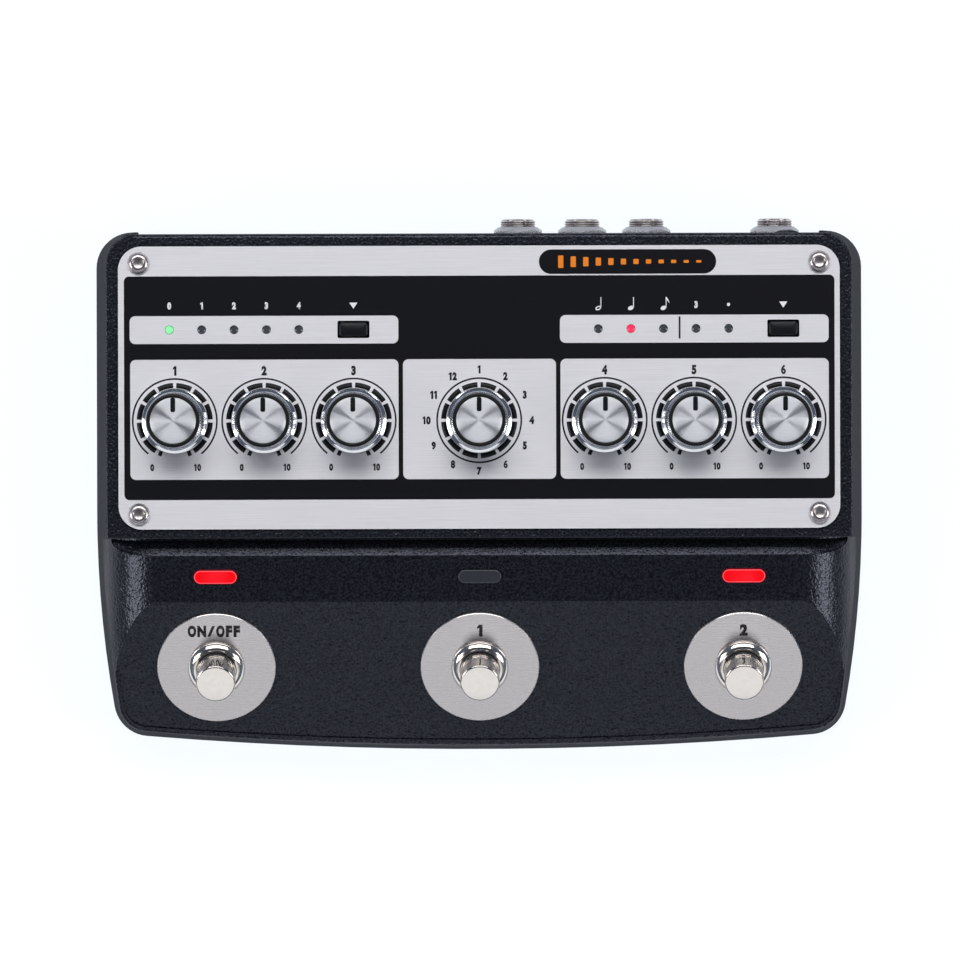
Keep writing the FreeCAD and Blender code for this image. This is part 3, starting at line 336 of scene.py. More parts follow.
def new_tree(name, inputs):
    """A Geometry Nodes tree with named inputs, and its input node."""
    tree = bpy.data.node_groups.new(name, "GeometryNodeTree")
    tree.interface.new_socket(name="Geometry", in_out="OUTPUT", socket_type="NodeSocketGeometry")
    for label, (kind, value) in inputs.items():
        item = tree.interface.new_socket(name=label, in_out="INPUT", socket_type=kind)
        item.default_value = value
    return tree, add_node(tree, "NodeGroupInput")


def end_tree(tree, geometry, material):
    """Makes a tree's instances real and gives them their material."""
    real = add_node(tree, "GeometryNodeRealizeInstances", links={0: geometry})
    painted = add_node(tree, "GeometryNodeSetMaterial", links={0: real.outputs[0], "Material": material})
    add_node(tree, "NodeGroupOutput", links={0: painted.outputs[0]})


def grow(tree, values=()):
    """The plain mesh that a tree makes, with these values for its named inputs."""
    holder = bpy.data.objects.new("holder", bpy.data.meshes.new("holder"))
    bpy.context.scene.collection.objects.link(holder)
    modifier = holder.modifiers.new("grow", "NODES")
    modifier.node_group = tree
    for item in tree.interface.items_tree:
        if item.name in values:
            modifier[item.identifier] = values[item.name]
    ready = holder.evaluated_get(bpy.context.evaluated_depsgraph_get())
    mesh = bpy.data.meshes.new_from_object(ready)
    holder.modifiers.clear()
    bpy.data.objects.remove(holder)
    return mesh


def turned_copies(tree, geometry, count, first, pitch):
    """Copies of a geometry turned about Z from a first angle, a pitch apart."""
    points = add_node(tree, "GeometryNodePoints", links={"Count": count})
    index = add_node(tree, "GeometryNodeInputIndex")
    angle = add_node(tree, "ShaderNodeMath", {"operation": "MULTIPLY_ADD"},
                     {0: index.outputs[0], 1: pitch, 2: first})
    turn = add_node(tree, "ShaderNodeCombineXYZ", links={"Z": angle.outputs[0]})
    return add_node(tree, "GeometryNodeInstanceOnPoints",
                    links={"Points": points.outputs[0], "Instance": geometry, "Rotation": turn.outputs[0]})


ARC_RADIUS, ARC_WIDTH = 8.78 * MM, 1.25 * MM
LINE_RADIUS, LINE_WIDTH = 10.4 * MM, 0.42 * MM
ARC_PITCH = 30      # degrees, as are the other angles here
ARC_GAP = math.degrees(0.75 * MM / ARC_RADIUS)
ARC_SWEEP = ARC_PITCH - ARC_GAP
DIAL_Y = KNOB_Y / MM

FLOAT, WHOLE = "NodeSocketFloat", "NodeSocketInt"
strip_tree, given = new_tree("dial_strips", {
    "Count": (WHOLE, 12), "Start": (FLOAT, 0.0), "Pitch": (FLOAT, math.radians(ARC_PITCH)),
    "Sweep": (FLOAT, math.radians(ARC_SWEEP)), "Radius": (FLOAT, ARC_RADIUS), "Width": (FLOAT, ARC_WIDTH),
    "Points": (WHOLE, 12)})
arc = add_node(strip_tree, "GeometryNodeCurveArc", links={
    "Resolution": given.outputs["Points"], "Radius": given.outputs["Radius"], "Start Angle": 0.0,
    "Sweep Angle": given.outputs["Sweep"]})
section = add_node(strip_tree, "GeometryNodeCurvePrimitiveQuadrilateral",
                   links={"Width": given.outputs["Width"], "Height": INK_THICKNESS})
strip = add_node(strip_tree, "GeometryNodeCurveToMesh",
                 links={"Curve": arc.outputs[0], "Profile Curve": section.outputs[0], "Fill Caps": True})
strips = turned_copies(strip_tree, strip.outputs[0], given.outputs["Count"], given.outputs["Start"],
                       given.outputs["Pitch"])
end_tree(strip_tree, strips.outputs[0], black_ink)

# Each row gives the count, start, pitch, sweep, radius, width and points of the arcs, line or blocks.
POT_ROWS = ((10, -60 + ARC_GAP / 2, ARC_PITCH, ARC_SWEEP, ARC_RADIUS, ARC_WIDTH, 12),
            (1, -51, 0, 282, LINE_RADIUS, LINE_WIDTH, 96),
            (2, -69, 312, 6, ARC_RADIUS, ARC_WIDTH, 4))
SELECTOR_ROWS = ((12, ARC_GAP / 2, ARC_PITCH, ARC_SWEEP, ARC_RADIUS, ARC_WIDTH, 12),
                 (1, 0, 0, 359.9, LINE_RADIUS, LINE_WIDTH, 96))
BUTTON_X = (KNOB_X[2], KNOB_X[5])      # these knobs have a middle mark and a button over them
rings = []
for x, rows in [(x, POT_ROWS) for x in KNOB_X] + [(0.0, SELECTOR_ROWS)]:
    for count, start, pitch, sweep, radius, width, points in rows:
        ring = grow(strip_tree, {
            "Count": count, "Start": math.radians(start), "Pitch": math.radians(pitch),
            "Sweep": math.radians(sweep), "Radius": radius, "Width": width, "Points": points})
        ring.transform(Matrix.Translation((x, KNOB_Y, INK_THICKNESS / 2)))
        rings.append(ring)
for x in BUTTON_X:
    rings.append(film([rounded_corners(x / MM - 1.2, x / MM + 1.2, DIAL_Y + 7.4, DIAL_Y + 8.0, 0.1)]))
printed("dial_rings", rings, black_ink)


# Figures: plain numbers by the dials and lamps, printed with the black field or in white on it,
# note signs over the lamps that stand for a beat, and a row of shrinking bars on the title bar.

TYPE_WEIGHT = 0.07
LIGHTER_FIGURES = {"6": 0.05, "8": 0.065, "/": 0.03}      # these fold over at the full weight
NARROW_CAPITALS = {"O": 0.55, "N": 0.58, "/": 0.5, "F": 0.425}


def glyph(letter):
    """One flat figure of the built-in type, with a flag added to its bare 1."""
    curve = bpy.data.curves.new("figure", "FONT")
    curve.body = letter
    curve.offset = LIGHTER_FIGURES.get(letter, TYPE_WEIGHT)
    mesh = as_mesh(curve)
    work = bmesh.new()
    work.from_mesh(mesh)
    bmesh.ops.remove_doubles(work, verts=work.verts, dist=1e-5)
    low_x = min(v.co.x for v in work.verts)
    high_y = max(v.co.y for v in work.verts)
    if letter == "1":
        flag = [(0.01, 0.0), (-0.15, -0.16), (-0.15, -0.31), (0.01, -0.2)]
        work.faces.new([work.verts.new((low_x + u, high_y + v, 0.0)) for u, v in flag])
    bmesh.ops.recalc_face_normals(work, faces=work.faces)
    bmesh.ops.reverse_faces(work, faces=[f for f in work.faces if f.normal.z < 0])
    work.to_mesh(mesh)
    work.free()
    return mesh


def figure(text, x, y, height, stretch=0.8, gap=0.09):
    """A number or word in condensed bold type, centred on a place in millimetres."""
    letters = []
    reach = 0.0
    for letter in text:
        mesh = glyph(letter)
        left = min(v.co.x for v in mesh.vertices)
        right = max(v.co.x for v in mesh.vertices)
        wide = NARROW_CAPITALS.get(letter, right - left)
        mesh.transform(Matrix.Translation((-left, 0, 0)))
        mesh.transform(Matrix.Diagonal((wide / (right - left), 1, 1, 1)))
        mesh.transform(Matrix.Translation((reach, 0, 0)))
        reach += wide + gap
        letters.append(mesh)
    mesh = joined(letters)
    low = min(v.co.y for v in mesh.vertices)
    high = max(v.co.y for v in mesh.vertices)
    scale = height * MM / (high - low)
    work = bmesh.new()
    work.from_mesh(mesh)
    lifted = bmesh.ops.extrude_face_region(work, geom=work.faces[:])["geom"]
    for vertex in lifted:
        if isinstance(vertex, bmesh.types.BMVert):
            vertex.co.z += INK_THICKNESS
    work.to_mesh(mesh)
    work.free()
    centre = Matrix.Translation((-(reach - gap) / 2, -(low + high) / 2, 0))
    size = Matrix.Diagonal((scale * stretch, scale, 1, 1))
    mesh.transform(Matrix.Translation((x * MM, y * MM, 0)) @ size @ centre)
    return mesh


def note_sign(x, y, filled, flagged):
    """A note sign: a slanted head, open or filled, a stem and perhaps a flag."""
    lean = math.radians(25)
    head = []
    for step in range(24):
        angle = 2 * math.pi * step / 24
        u, v = 0.75 * math.cos(angle), 0.5 * math.sin(angle)
        head.append((x + u * math.cos(lean) - v * math.sin(lean),
                     y - 1.0 + u * math.sin(lean) + v * math.cos(lean)))
    hole = [(x + (px - x) * 0.55, y - 1.0 + (py - y + 1.0) * 0.5) for px, py in head]
    stem = [(x + 0.55, y - 0.9), (x + 0.75, y - 0.9), (x + 0.75, y + 1.7), (x + 0.55, y + 1.7)]
    flag = [(x + 0.75, y + 1.7), (x + 0.75, y + 1.1), (x + 1.5, y + 0.1), (x + 1.3, y + 0.9)]
    forms = [[head] if filled else [head, hole], [stem]] + ([[flag]] if flagged else [])
    return [film(form) for form in forms]


NUMBER_Y, NUMBER_HEIGHT = 28.15, 2.35
SCALE_X, SCALE_Y, SCALE_HEIGHT = 5.6, DIAL_Y - 11.5, 1.75
SELECTOR_RX, SELECTOR_RY, SELECTOR_HEIGHT = 13.0, 12.55, 2.0
LAMP_FIGURE_Y, LAMP_FIGURE_HEIGHT = 44.2, 1.8
LEFT_LAMP_X = (-76.5, -68.5, -60.5, -52.5, -44.5)
NOTE_Y = 44.4

black_figures = []
for number, x in enumerate(KNOB_X, start=1):
    black_figures += [figure(str(number), x / MM, NUMBER_Y, NUMBER_HEIGHT),
                      figure("0", x / MM - SCALE_X, SCALE_Y, SCALE_HEIGHT),
                      figure("10", x / MM + SCALE_X, SCALE_Y, SCALE_HEIGHT)]
for position in range(12):
    angle = math.radians(90 - 30 * position)
    black_figures.append(figure(str(position + 1), SELECTOR_RX * math.cos(angle),
                                DIAL_Y + SELECTOR_RY * math.sin(angle), SELECTOR_HEIGHT))
printed("black_figures", black_figures, black_ink)

white_marks = [figure(str(i), x, LAMP_FIGURE_Y, LAMP_FIGURE_HEIGHT) for i, x in enumerate(LEFT_LAMP_X)]
for x, filled, flagged in ((29.5, False, False), (37.55, True, False), (45.6, True, True)):
    white_marks += note_sign(x, NOTE_Y, filled, flagged)
white_marks.append(figure("3", 53.65, LAMP_FIGURE_Y, LAMP_FIGURE_HEIGHT))
white_marks.append(film([rounded_corners(61.25, 62.05, 43.8, 44.6, 0.39)]))
for x in BUTTON_X:
    white_marks.append(film([[(x / MM - 1.0, 44.9), (x / MM, 43.4), (x / MM + 1.0, 44.9)]]))
printed("white_figures", white_marks, white_ink, layers=1)

BAR_X, BAR_Y, BAR_PITCH, BAR_WIDTH = 19.6, 54.87, 3.1, 1.3
echo_bars = []
for step in range(12):
    half_height = 1.55 * 0.86 ** step
    x = BAR_X + BAR_PITCH * step
    echo_bars.append(film([rounded_corners(x, x + BAR_WIDTH, BAR_Y - half_height, BAR_Y + half_height, 0.2)]))
printed("title_bars", echo_bars, orange_ink, layers=1)


# Panel screws: four nickel-plated button-head screws, turned down tight. The socket for the key is so
# small that it is drawn round, and tumbling has left the plating satin.

def bridge(work, loops):
    """Faces from each loop of vertices to the next, where a loop of one vertex is a pole."""
    count = max(len(loop) for loop in loops)
    for low, high in zip(loops, loops[1:]):
        for step in range(count):
            after = (step + 1) % count
            corners = [low[step % len(low)], low[after % len(low)],
                       high[after % len(high)], high[step % len(high)]]
            work.faces.new(list(dict.fromkeys(corners)))


TURNED_MAP_LENGTH = 20 * MM
SHARP_EDGE = math.radians(32)


def revolve(profile, segments=64):
    """A closed turned mesh from (radius, height) points in millimetres, with an angle and radius UV map."""
    mesh = bpy.data.meshes.new("turned")
    work = bmesh.new()
    loops = []
    for radius, height in profile:
        if radius == 0:
            loops.append([work.verts.new((0, 0, height * MM))])
            continue
        ring = []
        for step in range(segments):
            angle = 2 * math.pi * step / segments
            ring.append(work.verts.new((radius * MM * math.cos(angle), radius * MM * math.sin(angle),
                                        height * MM)))
        loops.append(ring)
    bridge(work, loops)
    bmesh.ops.recalc_face_normals(work, faces=work.faces)
    turns = work.loops.layers.uv.new("turned")
    for face in work.faces:
        middle = face.calc_center_median()
        around = math.atan2(middle.y, middle.x)
        for loop in face.loops:
            angle = math.atan2(loop.vert.co.y, loop.vert.co.x) if loop.vert.co.xy.length > 1e-6 else around
            angle += 2 * math.pi * round((around - angle) / (2 * math.pi))
            loop[turns].uv = (angle / (2 * math.pi), loop.vert.co.xy.length / TURNED_MAP_LENGTH)
        face.smooth = True
    work.to_mesh(mesh)
    work.free()
    mesh.set_sharp_from_angle(angle=SHARP_EDGE)
    return mesh


def plated(name, dark, light, smooth, rough, **values):
    """A plated metal: faintly cloudy in colour and in how sharply it mirrors."""
    material, tree, shader = finish_named(name, Metallic=1.0, **values)
    smear = object_grain(tree, [0.7] * 3, Detail=3.0)
    tint = add_node(tree, "ShaderNodeMix", {"data_type": "RGBA"},
                    {0: smear.outputs[0], 6: linear(dark), 7: linear(light)})
    blur = add_node(tree, "ShaderNodeMapRange", links={0: smear.outputs[0], 3: smooth, 4: rough})
    feed(shader, Base_Color=tint.outputs[2], Roughness=blur.outputs[0])
    return material


HEAD_RADIUS = 2.75
screw_low, screw_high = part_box("panel_screws")
soft_nickel = plated("tumbled_nickel", "#B4ADAD", "#D0C9C9", 0.24, 0.32)
head = revolve([(0, 0.45), (1.25, 0.8), (1.38, 1.3), (1.5, 1.52), (1.7, 1.5), (2.0, 1.4), (2.3, 1.2),
                (2.5, 0.97), (2.65, 0.69), (2.74, 0.36), (HEAD_RADIUS, 0.0), (0, 0.0)])
head.materials.append(soft_nickel)
screw_tree, given = new_tree("panel_screw_heads", {
    "Spacing X": (FLOAT, screw_high.x - screw_low.x - 2 * HEAD_RADIUS * MM),
    "Spacing Y": (FLOAT, screw_high.y - screw_low.y - 2 * HEAD_RADIUS * MM),
    "Head": ("NodeSocketObject", None)})
places = add_node(screw_tree, "GeometryNodeMeshGrid",
                  links={"Size X": given.outputs["Spacing X"], "Size Y": given.outputs["Spacing Y"],
                         "Vertices X": 2, "Vertices Y": 2})
one_head = add_node(screw_tree, "GeometryNodeObjectInfo", links={"Object": given.outputs["Head"]})
heads = add_node(screw_tree, "GeometryNodeInstanceOnPoints",
                 links={"Points": places.outputs[0], "Instance": one_head.outputs["Geometry"]})
end_tree(screw_tree, heads.outputs[0], soft_nickel)
head_object = bpy.data.objects.new("head", head)
bpy.context.scene.collection.objects.link(head_object)
four_heads = grow(screw_tree, {"Head": head_object})
bpy.data.objects.remove(head_object)
four_heads.transform(Matrix.Translation((*middle_of("panel_screws").xy, PANEL_TOP)))
four_heads.set_sharp_from_angle(angle=SHARP_EDGE)
screws = place_mesh("panel_screw_heads", four_heads, soft_nickel, "case")
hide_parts("panel_screws")


# Knobs: each is a chrome-plated moulding with fine ribs and a flared skirt, a black ring pressed round
# its top and a thin disc of spun aluminium inside the ring. The pointer is a bar of black ink on the disc.

# The ring's plastic looks satin. Chrome mirrors the room, and shows its ribs as bright lines.
knob_black = grained("moulded_knob_black", 3.0, 2.0, "#08090B", "#101114", Roughness=0.4,
                     Specular_IOR_Level=0.25)
chrome = plated("bright_chrome", "#D0D2D6", "#ECEDEF", 0.05, 0.13)

# Spinning leaves fine grooves round the disc, so that its gloss spreads into bright fans.
GROOVES_PER_MM = 8.0
spun, tree, shader = finish_named("spun_aluminium", Metallic=1.0, Roughness=0.4, Anisotropic=1.0,
                                  Anisotropic_Rotation=0.25)
around = add_node(tree, "ShaderNodeTangent", {"direction_type": "UV_MAP", "uv_map": "turned"})
turn_map = add_node(tree, "ShaderNodeUVMap", {"uv_map": "turned"})
groove_scale = add_node(tree, "ShaderNodeMapping", links={
    0: turn_map.outputs[0], "Scale": (6.0, GROOVES_PER_MM * TURNED_MAP_LENGTH / MM, 1.0)})
grooves = add_node(tree, "ShaderNodeTexNoise",
                   links={"Vector": groove_scale.outputs[0], "Scale": 1.0, "Detail": 1.0})
tint = add_node(tree, "ShaderNodeMix", {"data_type": "RGBA"},
                {0: grooves.outputs[0], 6: linear("#D8DADF"), 7: linear("#F4F5F8")})
feed(shader, Base_Color=tint.outputs[2], Tangent=around.outputs[0])

rib_tree, given = new_tree("knob_ribs", {
    "Ribs": (WHOLE, 96), "Foot Radius": (FLOAT, 7.0 * MM), "Head Radius": (FLOAT, 6.42 * MM),
    "Low": (FLOAT, 1.6 * MM), "High": (FLOAT, 12.5 * MM), "Rib Radius": (FLOAT, 0.12 * MM)})
ends = [add_node(rib_tree, "ShaderNodeCombineXYZ", links={"X": given.outputs[radius], "Z": given.outputs[z]})
        for radius, z in (("Foot Radius", "Low"), ("Head Radius", "High"))]
spine = add_node(rib_tree, "GeometryNodeCurvePrimitiveLine",
                 links={"Start": ends[0].outputs[0], "End": ends[1].outputs[0]})
round_rib = add_node(rib_tree, "GeometryNodeCurvePrimitiveCircle",
                     links={"Resolution": 6, "Radius": given.outputs["Rib Radius"]})
rib = add_node(rib_tree, "GeometryNodeCurveToMesh", links={
    "Curve": spine.outputs[0], "Profile Curve": round_rib.outputs[0], "Fill Caps": True})
pitch = add_node(rib_tree, "ShaderNodeMath", {"operation": "DIVIDE"},
                 {0: 2 * math.pi, 1: given.outputs["Ribs"]})
all_ribs = turned_copies(rib_tree, rib.outputs[0], given.outputs["Ribs"], 0.0, pitch.outputs[0])
end_tree(rib_tree, all_ribs.outputs[0], chrome)

KNOB_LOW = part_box("knob_1")[0].z
KNOB_TOP = 13.4
DISC_TOP = KNOB_TOP - INK_THICKNESS / MM
body_profile = [(0, 1.2), (6.95, 1.2), (7.0, 1.5), (6.45, 12.55), (6.3, 12.7), (0, 12.7)]
ring_profile = [(5.66, 12.5), (6.5, 12.5), (6.6, 12.6), (6.6, 13.1), (6.53, 13.3), (6.35, KNOB_TOP),
                (5.8, KNOB_TOP), (5.7, 13.34), (5.66, 13.2), (5.66, 12.5)]
skirt_profile = [(3.2, 0.0), (7.95, 0.0), (8.05, 0.1), (8.05, 0.82), (7.99, 0.93), (7.85, 1.0), (7.3, 1.16),
                 (7.12, 1.32), (7.02, 1.6), (6.95, 2.0), (6.88, 2.3), (3.2, 2.3), (3.2, 0.0)]
disc_profile = [(0, 12.6), (5.65, 12.6), (5.65, 13.22), (5.6, 13.33)] + [
    (radius, DISC_TOP) for radius in (5.48, 4.4, 3.3, 2.2, 1.1, 0)]
POINTER = (-0.59, 0.59, 2.1, 5.62, 0.4)


def on_knob(name, mesh, material, body, x):
    """Makes a piece of the knob at this X from a mesh drawn at the origin."""
    mesh.transform(Matrix.Translation((x, KNOB_Y, KNOB_LOW)))
    return place_mesh(name, mesh, material, body)


KNOB_BODIES = ("left_knob_1", "left_knob_2", "left_knob_3", "right_knob_1", "right_knob_2", "right_knob_3")
knob_rows = [("knob_%d" % i, "knob_cap_%d" % i, body, x)
             for i, body, x in zip(range(1, 7), KNOB_BODIES, KNOB_X)]
for node, cap_node, body, x in knob_rows + [("selector_knob", "selector_cap", "selector", 0.0)]:
    barrel = on_knob(node + "_body", revolve(body_profile, 96), chrome, body, x)
    on_knob(node + "_ribs", grow(rib_tree), chrome, body, x)
    on_knob(node + "_skirt", revolve(skirt_profile, 96), chrome, body, x)
    on_knob(node + "_ring", revolve(ring_profile, 96), knob_black, body, x)
    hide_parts(node)
    disc = on_knob(cap_node + "_disc", revolve(disc_profile, 128), spun, body, x)
    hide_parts(cap_node)
    pointer = film([rounded_corners(*POINTER)])
    pointer.transform(Matrix.Translation((0, 0, DISC_TOP * MM)))
    on_knob(cap_node + "_pointer", pointer, black_ink, body, x)


# Panel lamps: clear domed light pipes of acrylic in drilled holes. One glows green, one red,
# and the rest look dark because only the unlit board is behind them.

def lamp_finish(name, edge, centre, glow, strength):
    """Acrylic with painted shade: darker where the dome turns down at its edge, with a faint cloud inside."""
    material, tree, shader = finish_named(name, Roughness=0.2)
    facing = add_node(tree, "ShaderNodeNewGeometry")
    upward = add_node(tree, "ShaderNodeSeparateXYZ", links={0: facing.outputs["Normal"]})
    cloud = object_grain(tree, [0.7] * 3, Detail=1.0)
    depth = add_node(tree, "ShaderNodeMath", {"operation": "MULTIPLY_ADD"},
                     {0: cloud.outputs[0], 1: 0.1, 2: upward.outputs["Z"]})
    # Painted shade: the colour, and a lit lamp's glow, darken as the dome's face turns away from straight up.
    painted_dome_shade = add_node(tree, "ShaderNodeMapRange", {"interpolation_type": "SMOOTHSTEP"},
                     {0: depth.outputs[0], 1: 0.8, 2: 1.04})
    tint = add_node(tree, "ShaderNodeMix", {"data_type": "RGBA"},
                    {0: painted_dome_shade.outputs[0], 6: linear(edge), 7: linear(centre)})
    feed(shader, Base_Color=tint.outputs[2])
    if strength:
        light = add_node(tree, "ShaderNodeMix", {"data_type": "RGBA"},
                         {0: painted_dome_shade.outputs[0], 6: linear(edge), 7: linear(glow)})
        feed(shader, Emission_Color=light.outputs[2])
        shader.inputs["Emission Strength"].default_value = strength
    return material


dress("lamp_green", lamp_finish("lit_green_acrylic", "#2E7A46", "#5FD07C", "#9CF5B0", 0.75))
dress("lamp_red", lamp_finish("lit_red_acrylic", "#8A0A22", "#E0103C", "#FF3A62", 0.8))
dress("lamps_unlit", lamp_finish("dark_acrylic", "#1E2024", "#3E4148", "#000000", 0.0))


# Push buttons: moulded black caps with a softly rounded crown, held under the panel by a flange.
# Their plastic is smooth from its mould, and glints along the rounded edges.

BUTTON_LENGTH = 6.2
BUTTON_Y = middle_of("lamp_green").y / MM
button_plastic = grained("moulded_button_black", 4.0, 2.0, "#0B0D11", "#12151A", 0.2, 0.02 * MM,
                         Roughness=0.3, Specular_IOR_Level=0.3)


def button_cap(x, y, low, top):
    """A cap with a flange at its foot, a rounded edge and a slightly domed top."""
    half_width, half_depth, corner, edge, dome, flange, crown = 3.5, 1.7, 0.8, 0.45, 0.12, 1.1, 1.15
    rows = [(low, -flange), (low + 1.0, -flange), (low + 1.0, 0.0), (top - dome - edge, 0.0)]
    for step in range(1, 7):
        angle = math.radians(15 * step)
        rows.append((top - dome - edge + edge * math.sin(angle), edge * (1 - math.cos(angle))))
    rows.append((top, crown))
    work = bmesh.new()
    loops = []
    for z, inset in rows:
        outline = rounded_corners(x - half_width + inset, x + half_width - inset, y - half_depth + inset,
                                  y + half_depth - inset, max(corner - inset, 0.3))
        loops.append([work.verts.new((px * MM, py * MM, z * MM)) for px, py in outline])
    bridge(work, loops)
    work.faces.new(loops[0])
    work.faces.new(loops[-1])
    for face in work.faces:
        face.smooth = True
    mesh = bpy.data.meshes.new("button_cap")
    work.to_mesh(mesh)
    work.free()
    mesh.set_sharp_from_angle(angle=math.radians(40))
    return mesh


for node, body, x in zip(("left_button", "right_button"), ("button_left", "button_right"), BUTTON_X):
    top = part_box(node)[1].z / MM
    cap = button_cap(x / MM, BUTTON_Y, top - BUTTON_LENGTH, top)
    piece = place_mesh(node + "_cap", cap, button_plastic, body)
    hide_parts(node)


# Light bars: clear acrylic mouldings in slots through the deck. The outer two are lit red from
# behind and brightest at the edge, where the moulding's rim gathers the light.

STATION_X = 65.5 * MM      # the outer foot switches and their light bars stand this far to each side
STRIP_TILT = math.radians(7.4)
STRIP_Y = -22.9 * MM
STRIP_Z = 30.8117 * MM


def bar_finish(name, rim, core, middle, line, strength):
    """Acrylic with a dark rim, a pale line inside it and a core that is palest over the lamp."""
    material, tree, shader = finish_named(name, Roughness=0.25)
    edge = add_node(tree, "ShaderNodeAttribute", {"attribute_name": "edge_glow_and_painted_light"})
    where = add_node(tree, "ShaderNodeTexCoord")
    along = add_node(tree, "ShaderNodeSeparateXYZ", links={0: where.outputs["Object"]})
    side = add_node(tree, "ShaderNodeMath", {"operation": "ABSOLUTE"}, {0: along.outputs["X"]})
    offset = add_node(tree, "ShaderNodeMath", {"operation": "SUBTRACT"}, {0: side.outputs[0], 1: STATION_X})
    away = add_node(tree, "ShaderNodeMath", {"operation": "ABSOLUTE"}, {0: offset.outputs[0]})
    near_lamp = add_node(tree, "ShaderNodeMapRange", {"interpolation_type": "SMOOTHSTEP"},
                         {0: away.outputs[0], 1: 4.0 * MM, 2: 1.0 * MM})
    cloud = object_grain(tree, [0.35] * 3, Detail=1.0)
    paler = add_node(tree, "ShaderNodeMath", {"operation": "MULTIPLY"},
                     {0: near_lamp.outputs[0], 1: cloud.outputs[0]})
    into_rim = add_node(tree, "ShaderNodeMapRange", links={0: edge.outputs["Fac"], 1: 0.0, 2: -1.0})
    on_line = add_node(tree, "ShaderNodeMapRange", links={0: edge.outputs["Fac"], 1: 0.2, 2: 1.0})
    shade = linear(core)
    for amount, colour in ((paler, middle), (into_rim, rim), (on_line, line)):
        layer = add_node(tree, "ShaderNodeMix", {"data_type": "RGBA"},
                         {0: amount.outputs[0], 6: shade, 7: linear(colour)})
        shade = layer.outputs[2]
    if strength:
        shader.inputs["Base Color"].default_value = linear("#1A0004")
        shader.inputs["Emission Strength"].default_value = strength
        feed(shader, Emission_Color=shade)
    else:
        feed(shader, Base_Color=shade)
    return material


def light_bar(x, y, z):
    """A half-round-ended moulding. Its points keep how much of the light inside comes out at them; on the
    unlit bar the same values give a painted highlight line and a painted shaded rim.
    """
    radius, reach, steps = 1.775, 3.675, 16
    # Each row gives the inset from the outline, the height and the glow.
    rows = [(0.0, -4.0, -1.0), (0.0, 0.05, -1.0), (0.06, 0.2, -1.0), (0.14, 0.3, -0.9), (0.22, 0.33, 0.9),
            (0.3, 0.35, 1.0), (0.36, 0.35, 0.7), (0.44, 0.35, 0.0), (1.1, 0.35, 0.0), (1.6, 0.35, 0.0)]
    work = bmesh.new()
    edge = work.verts.layers.float.new("edge_glow_and_painted_light")
    loops = []
    for inset, height, glow in rows:
        ring = []
        for side, turn in ((1, 0), (-1, 180)):
            for step in range(steps + 1):
                angle = math.radians(-90 + 180 * step / steps + turn)
                bar_x = side * reach + (radius - inset) * math.cos(angle)
                bar_y = (radius - inset) * math.sin(angle)
                vertex = work.verts.new((bar_x * MM, bar_y * MM, height * MM))
                vertex[edge] = glow
                ring.append(vertex)
        loops.append(ring)
    bridge(work, loops)
    work.faces.new(loops[0])
    last = loops[-1]
    count = len(last)
    for step in range(count // 2 - 1):
        work.faces.new([last[step], last[step + 1], last[count - 2 - step], last[count - 1 - step]])
    for face in work.faces:
        face.smooth = True
    mesh = bpy.data.meshes.new("light_bar")
    work.to_mesh(mesh)
    work.free()
    mesh.set_sharp_from_angle(angle=math.radians(50))
    mesh.transform(Matrix.Translation((x, y, z)) @ Matrix.Rotation(STRIP_TILT, 4, "X"))
    return mesh


red_acrylic = bar_finish("lit_red_light_bar", "#76000C", "#F8030E", "#FF2030", "#FF6470", 1.0)
# The unlit bar's colour holds a painted highlight, a pale line inside the rim, and painted shade, a darker
# rim.
dark_bar_painted_light = bar_finish("dark_light_bar", "#1B1D20", "#303338", "#303338", "#414448", 0.0)
for name, material, x, slot, replaced in (
        ("light_bar_left", red_acrylic, -STATION_X, "bar_red", "light_bars_lit"),
        ("light_bar_middle", dark_bar_painted_light, 0.0, "bar_unlit", "light_bar_unlit"),
        ("light_bar_right", red_acrylic, STATION_X, "bar_red", None)):
    piece = place_mesh(name, light_bar(x, STRIP_Y, STRIP_Z), material, "case")
    if replaced:
        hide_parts(replaced)


# Foot switches: a brushed stainless washer, a polished nickel-plated collar screwed on the bushing and a
# polished plunger, all square to the sloping plateau. ON/OFF, 1 and 2 are printed above the collars.

PLATEAU_TILT = math.radians(23.5)
SWITCH_Y = -45.15 * MM
SWITCH_Z = 23.0278 * MM
SWITCHES = (("left", -STATION_X), ("middle", 0.0), ("right", STATION_X))


def seat_at(x):
    """The place of the foot switch at this X, whose own axis stands square to the plateau."""
    return Matrix.Translation((x, SWITCH_Y, SWITCH_Z)) @ Matrix.Rotation(PLATEAU_TILT, 4, "X")


def seated(mesh, x):
    """Moves a mesh from the origin to the foot switch at this X."""
    mesh.transform(seat_at(x))
    return mesh


# The washers shine in narrow streaks, like the panel. Bright nickel mirrors the lamps, a little warm.
dress("footswitch_washers", brushed_metal("brushed_stainless", 0.05, 6.0, "#D3CDCC", "#F0EBEA",
                                          0.22, 0.32, 0.6))
nickel = plated("bright_nickel", "#D8D2CB", "#EAE5DF", 0.07, 0.16)
collar_profile = [(6.05, 1.0), (6.95, 1.0), (7.05, 1.1), (7.05, 2.04), (7.0, 2.13), (6.45, 2.6), (5.87, 3.03),
                  (5.76, 3.05), (5.65, 3.0), (5.58, 2.8), (5.05, 2.75), (5.05, 2.6), (6.05, 2.6), (6.05, 1.0)]
plunger_profile = [(0, -6.0), (5.9, -6.0), (5.9, -4.6), (4.9, -4.6), (4.9, 10.3), (4.87, 10.47), (4.78, 10.6),
                   (4.64, 10.68), (4.4, 10.7), (0, 10.7)]
collars = [seated(revolve(collar_profile, 96), x) for side, x in SWITCHES]
collar_piece = place_mesh("footswitch_collar_rings", joined(collars), nickel, "case")
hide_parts("footswitch_collars")
for side, x in SWITCHES:
    plunger = place_mesh("plunger_%s_cap" % side, seated(revolve(plunger_profile, 96), x), nickel,
                         "foot_" + side)
    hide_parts("plunger_" + side)
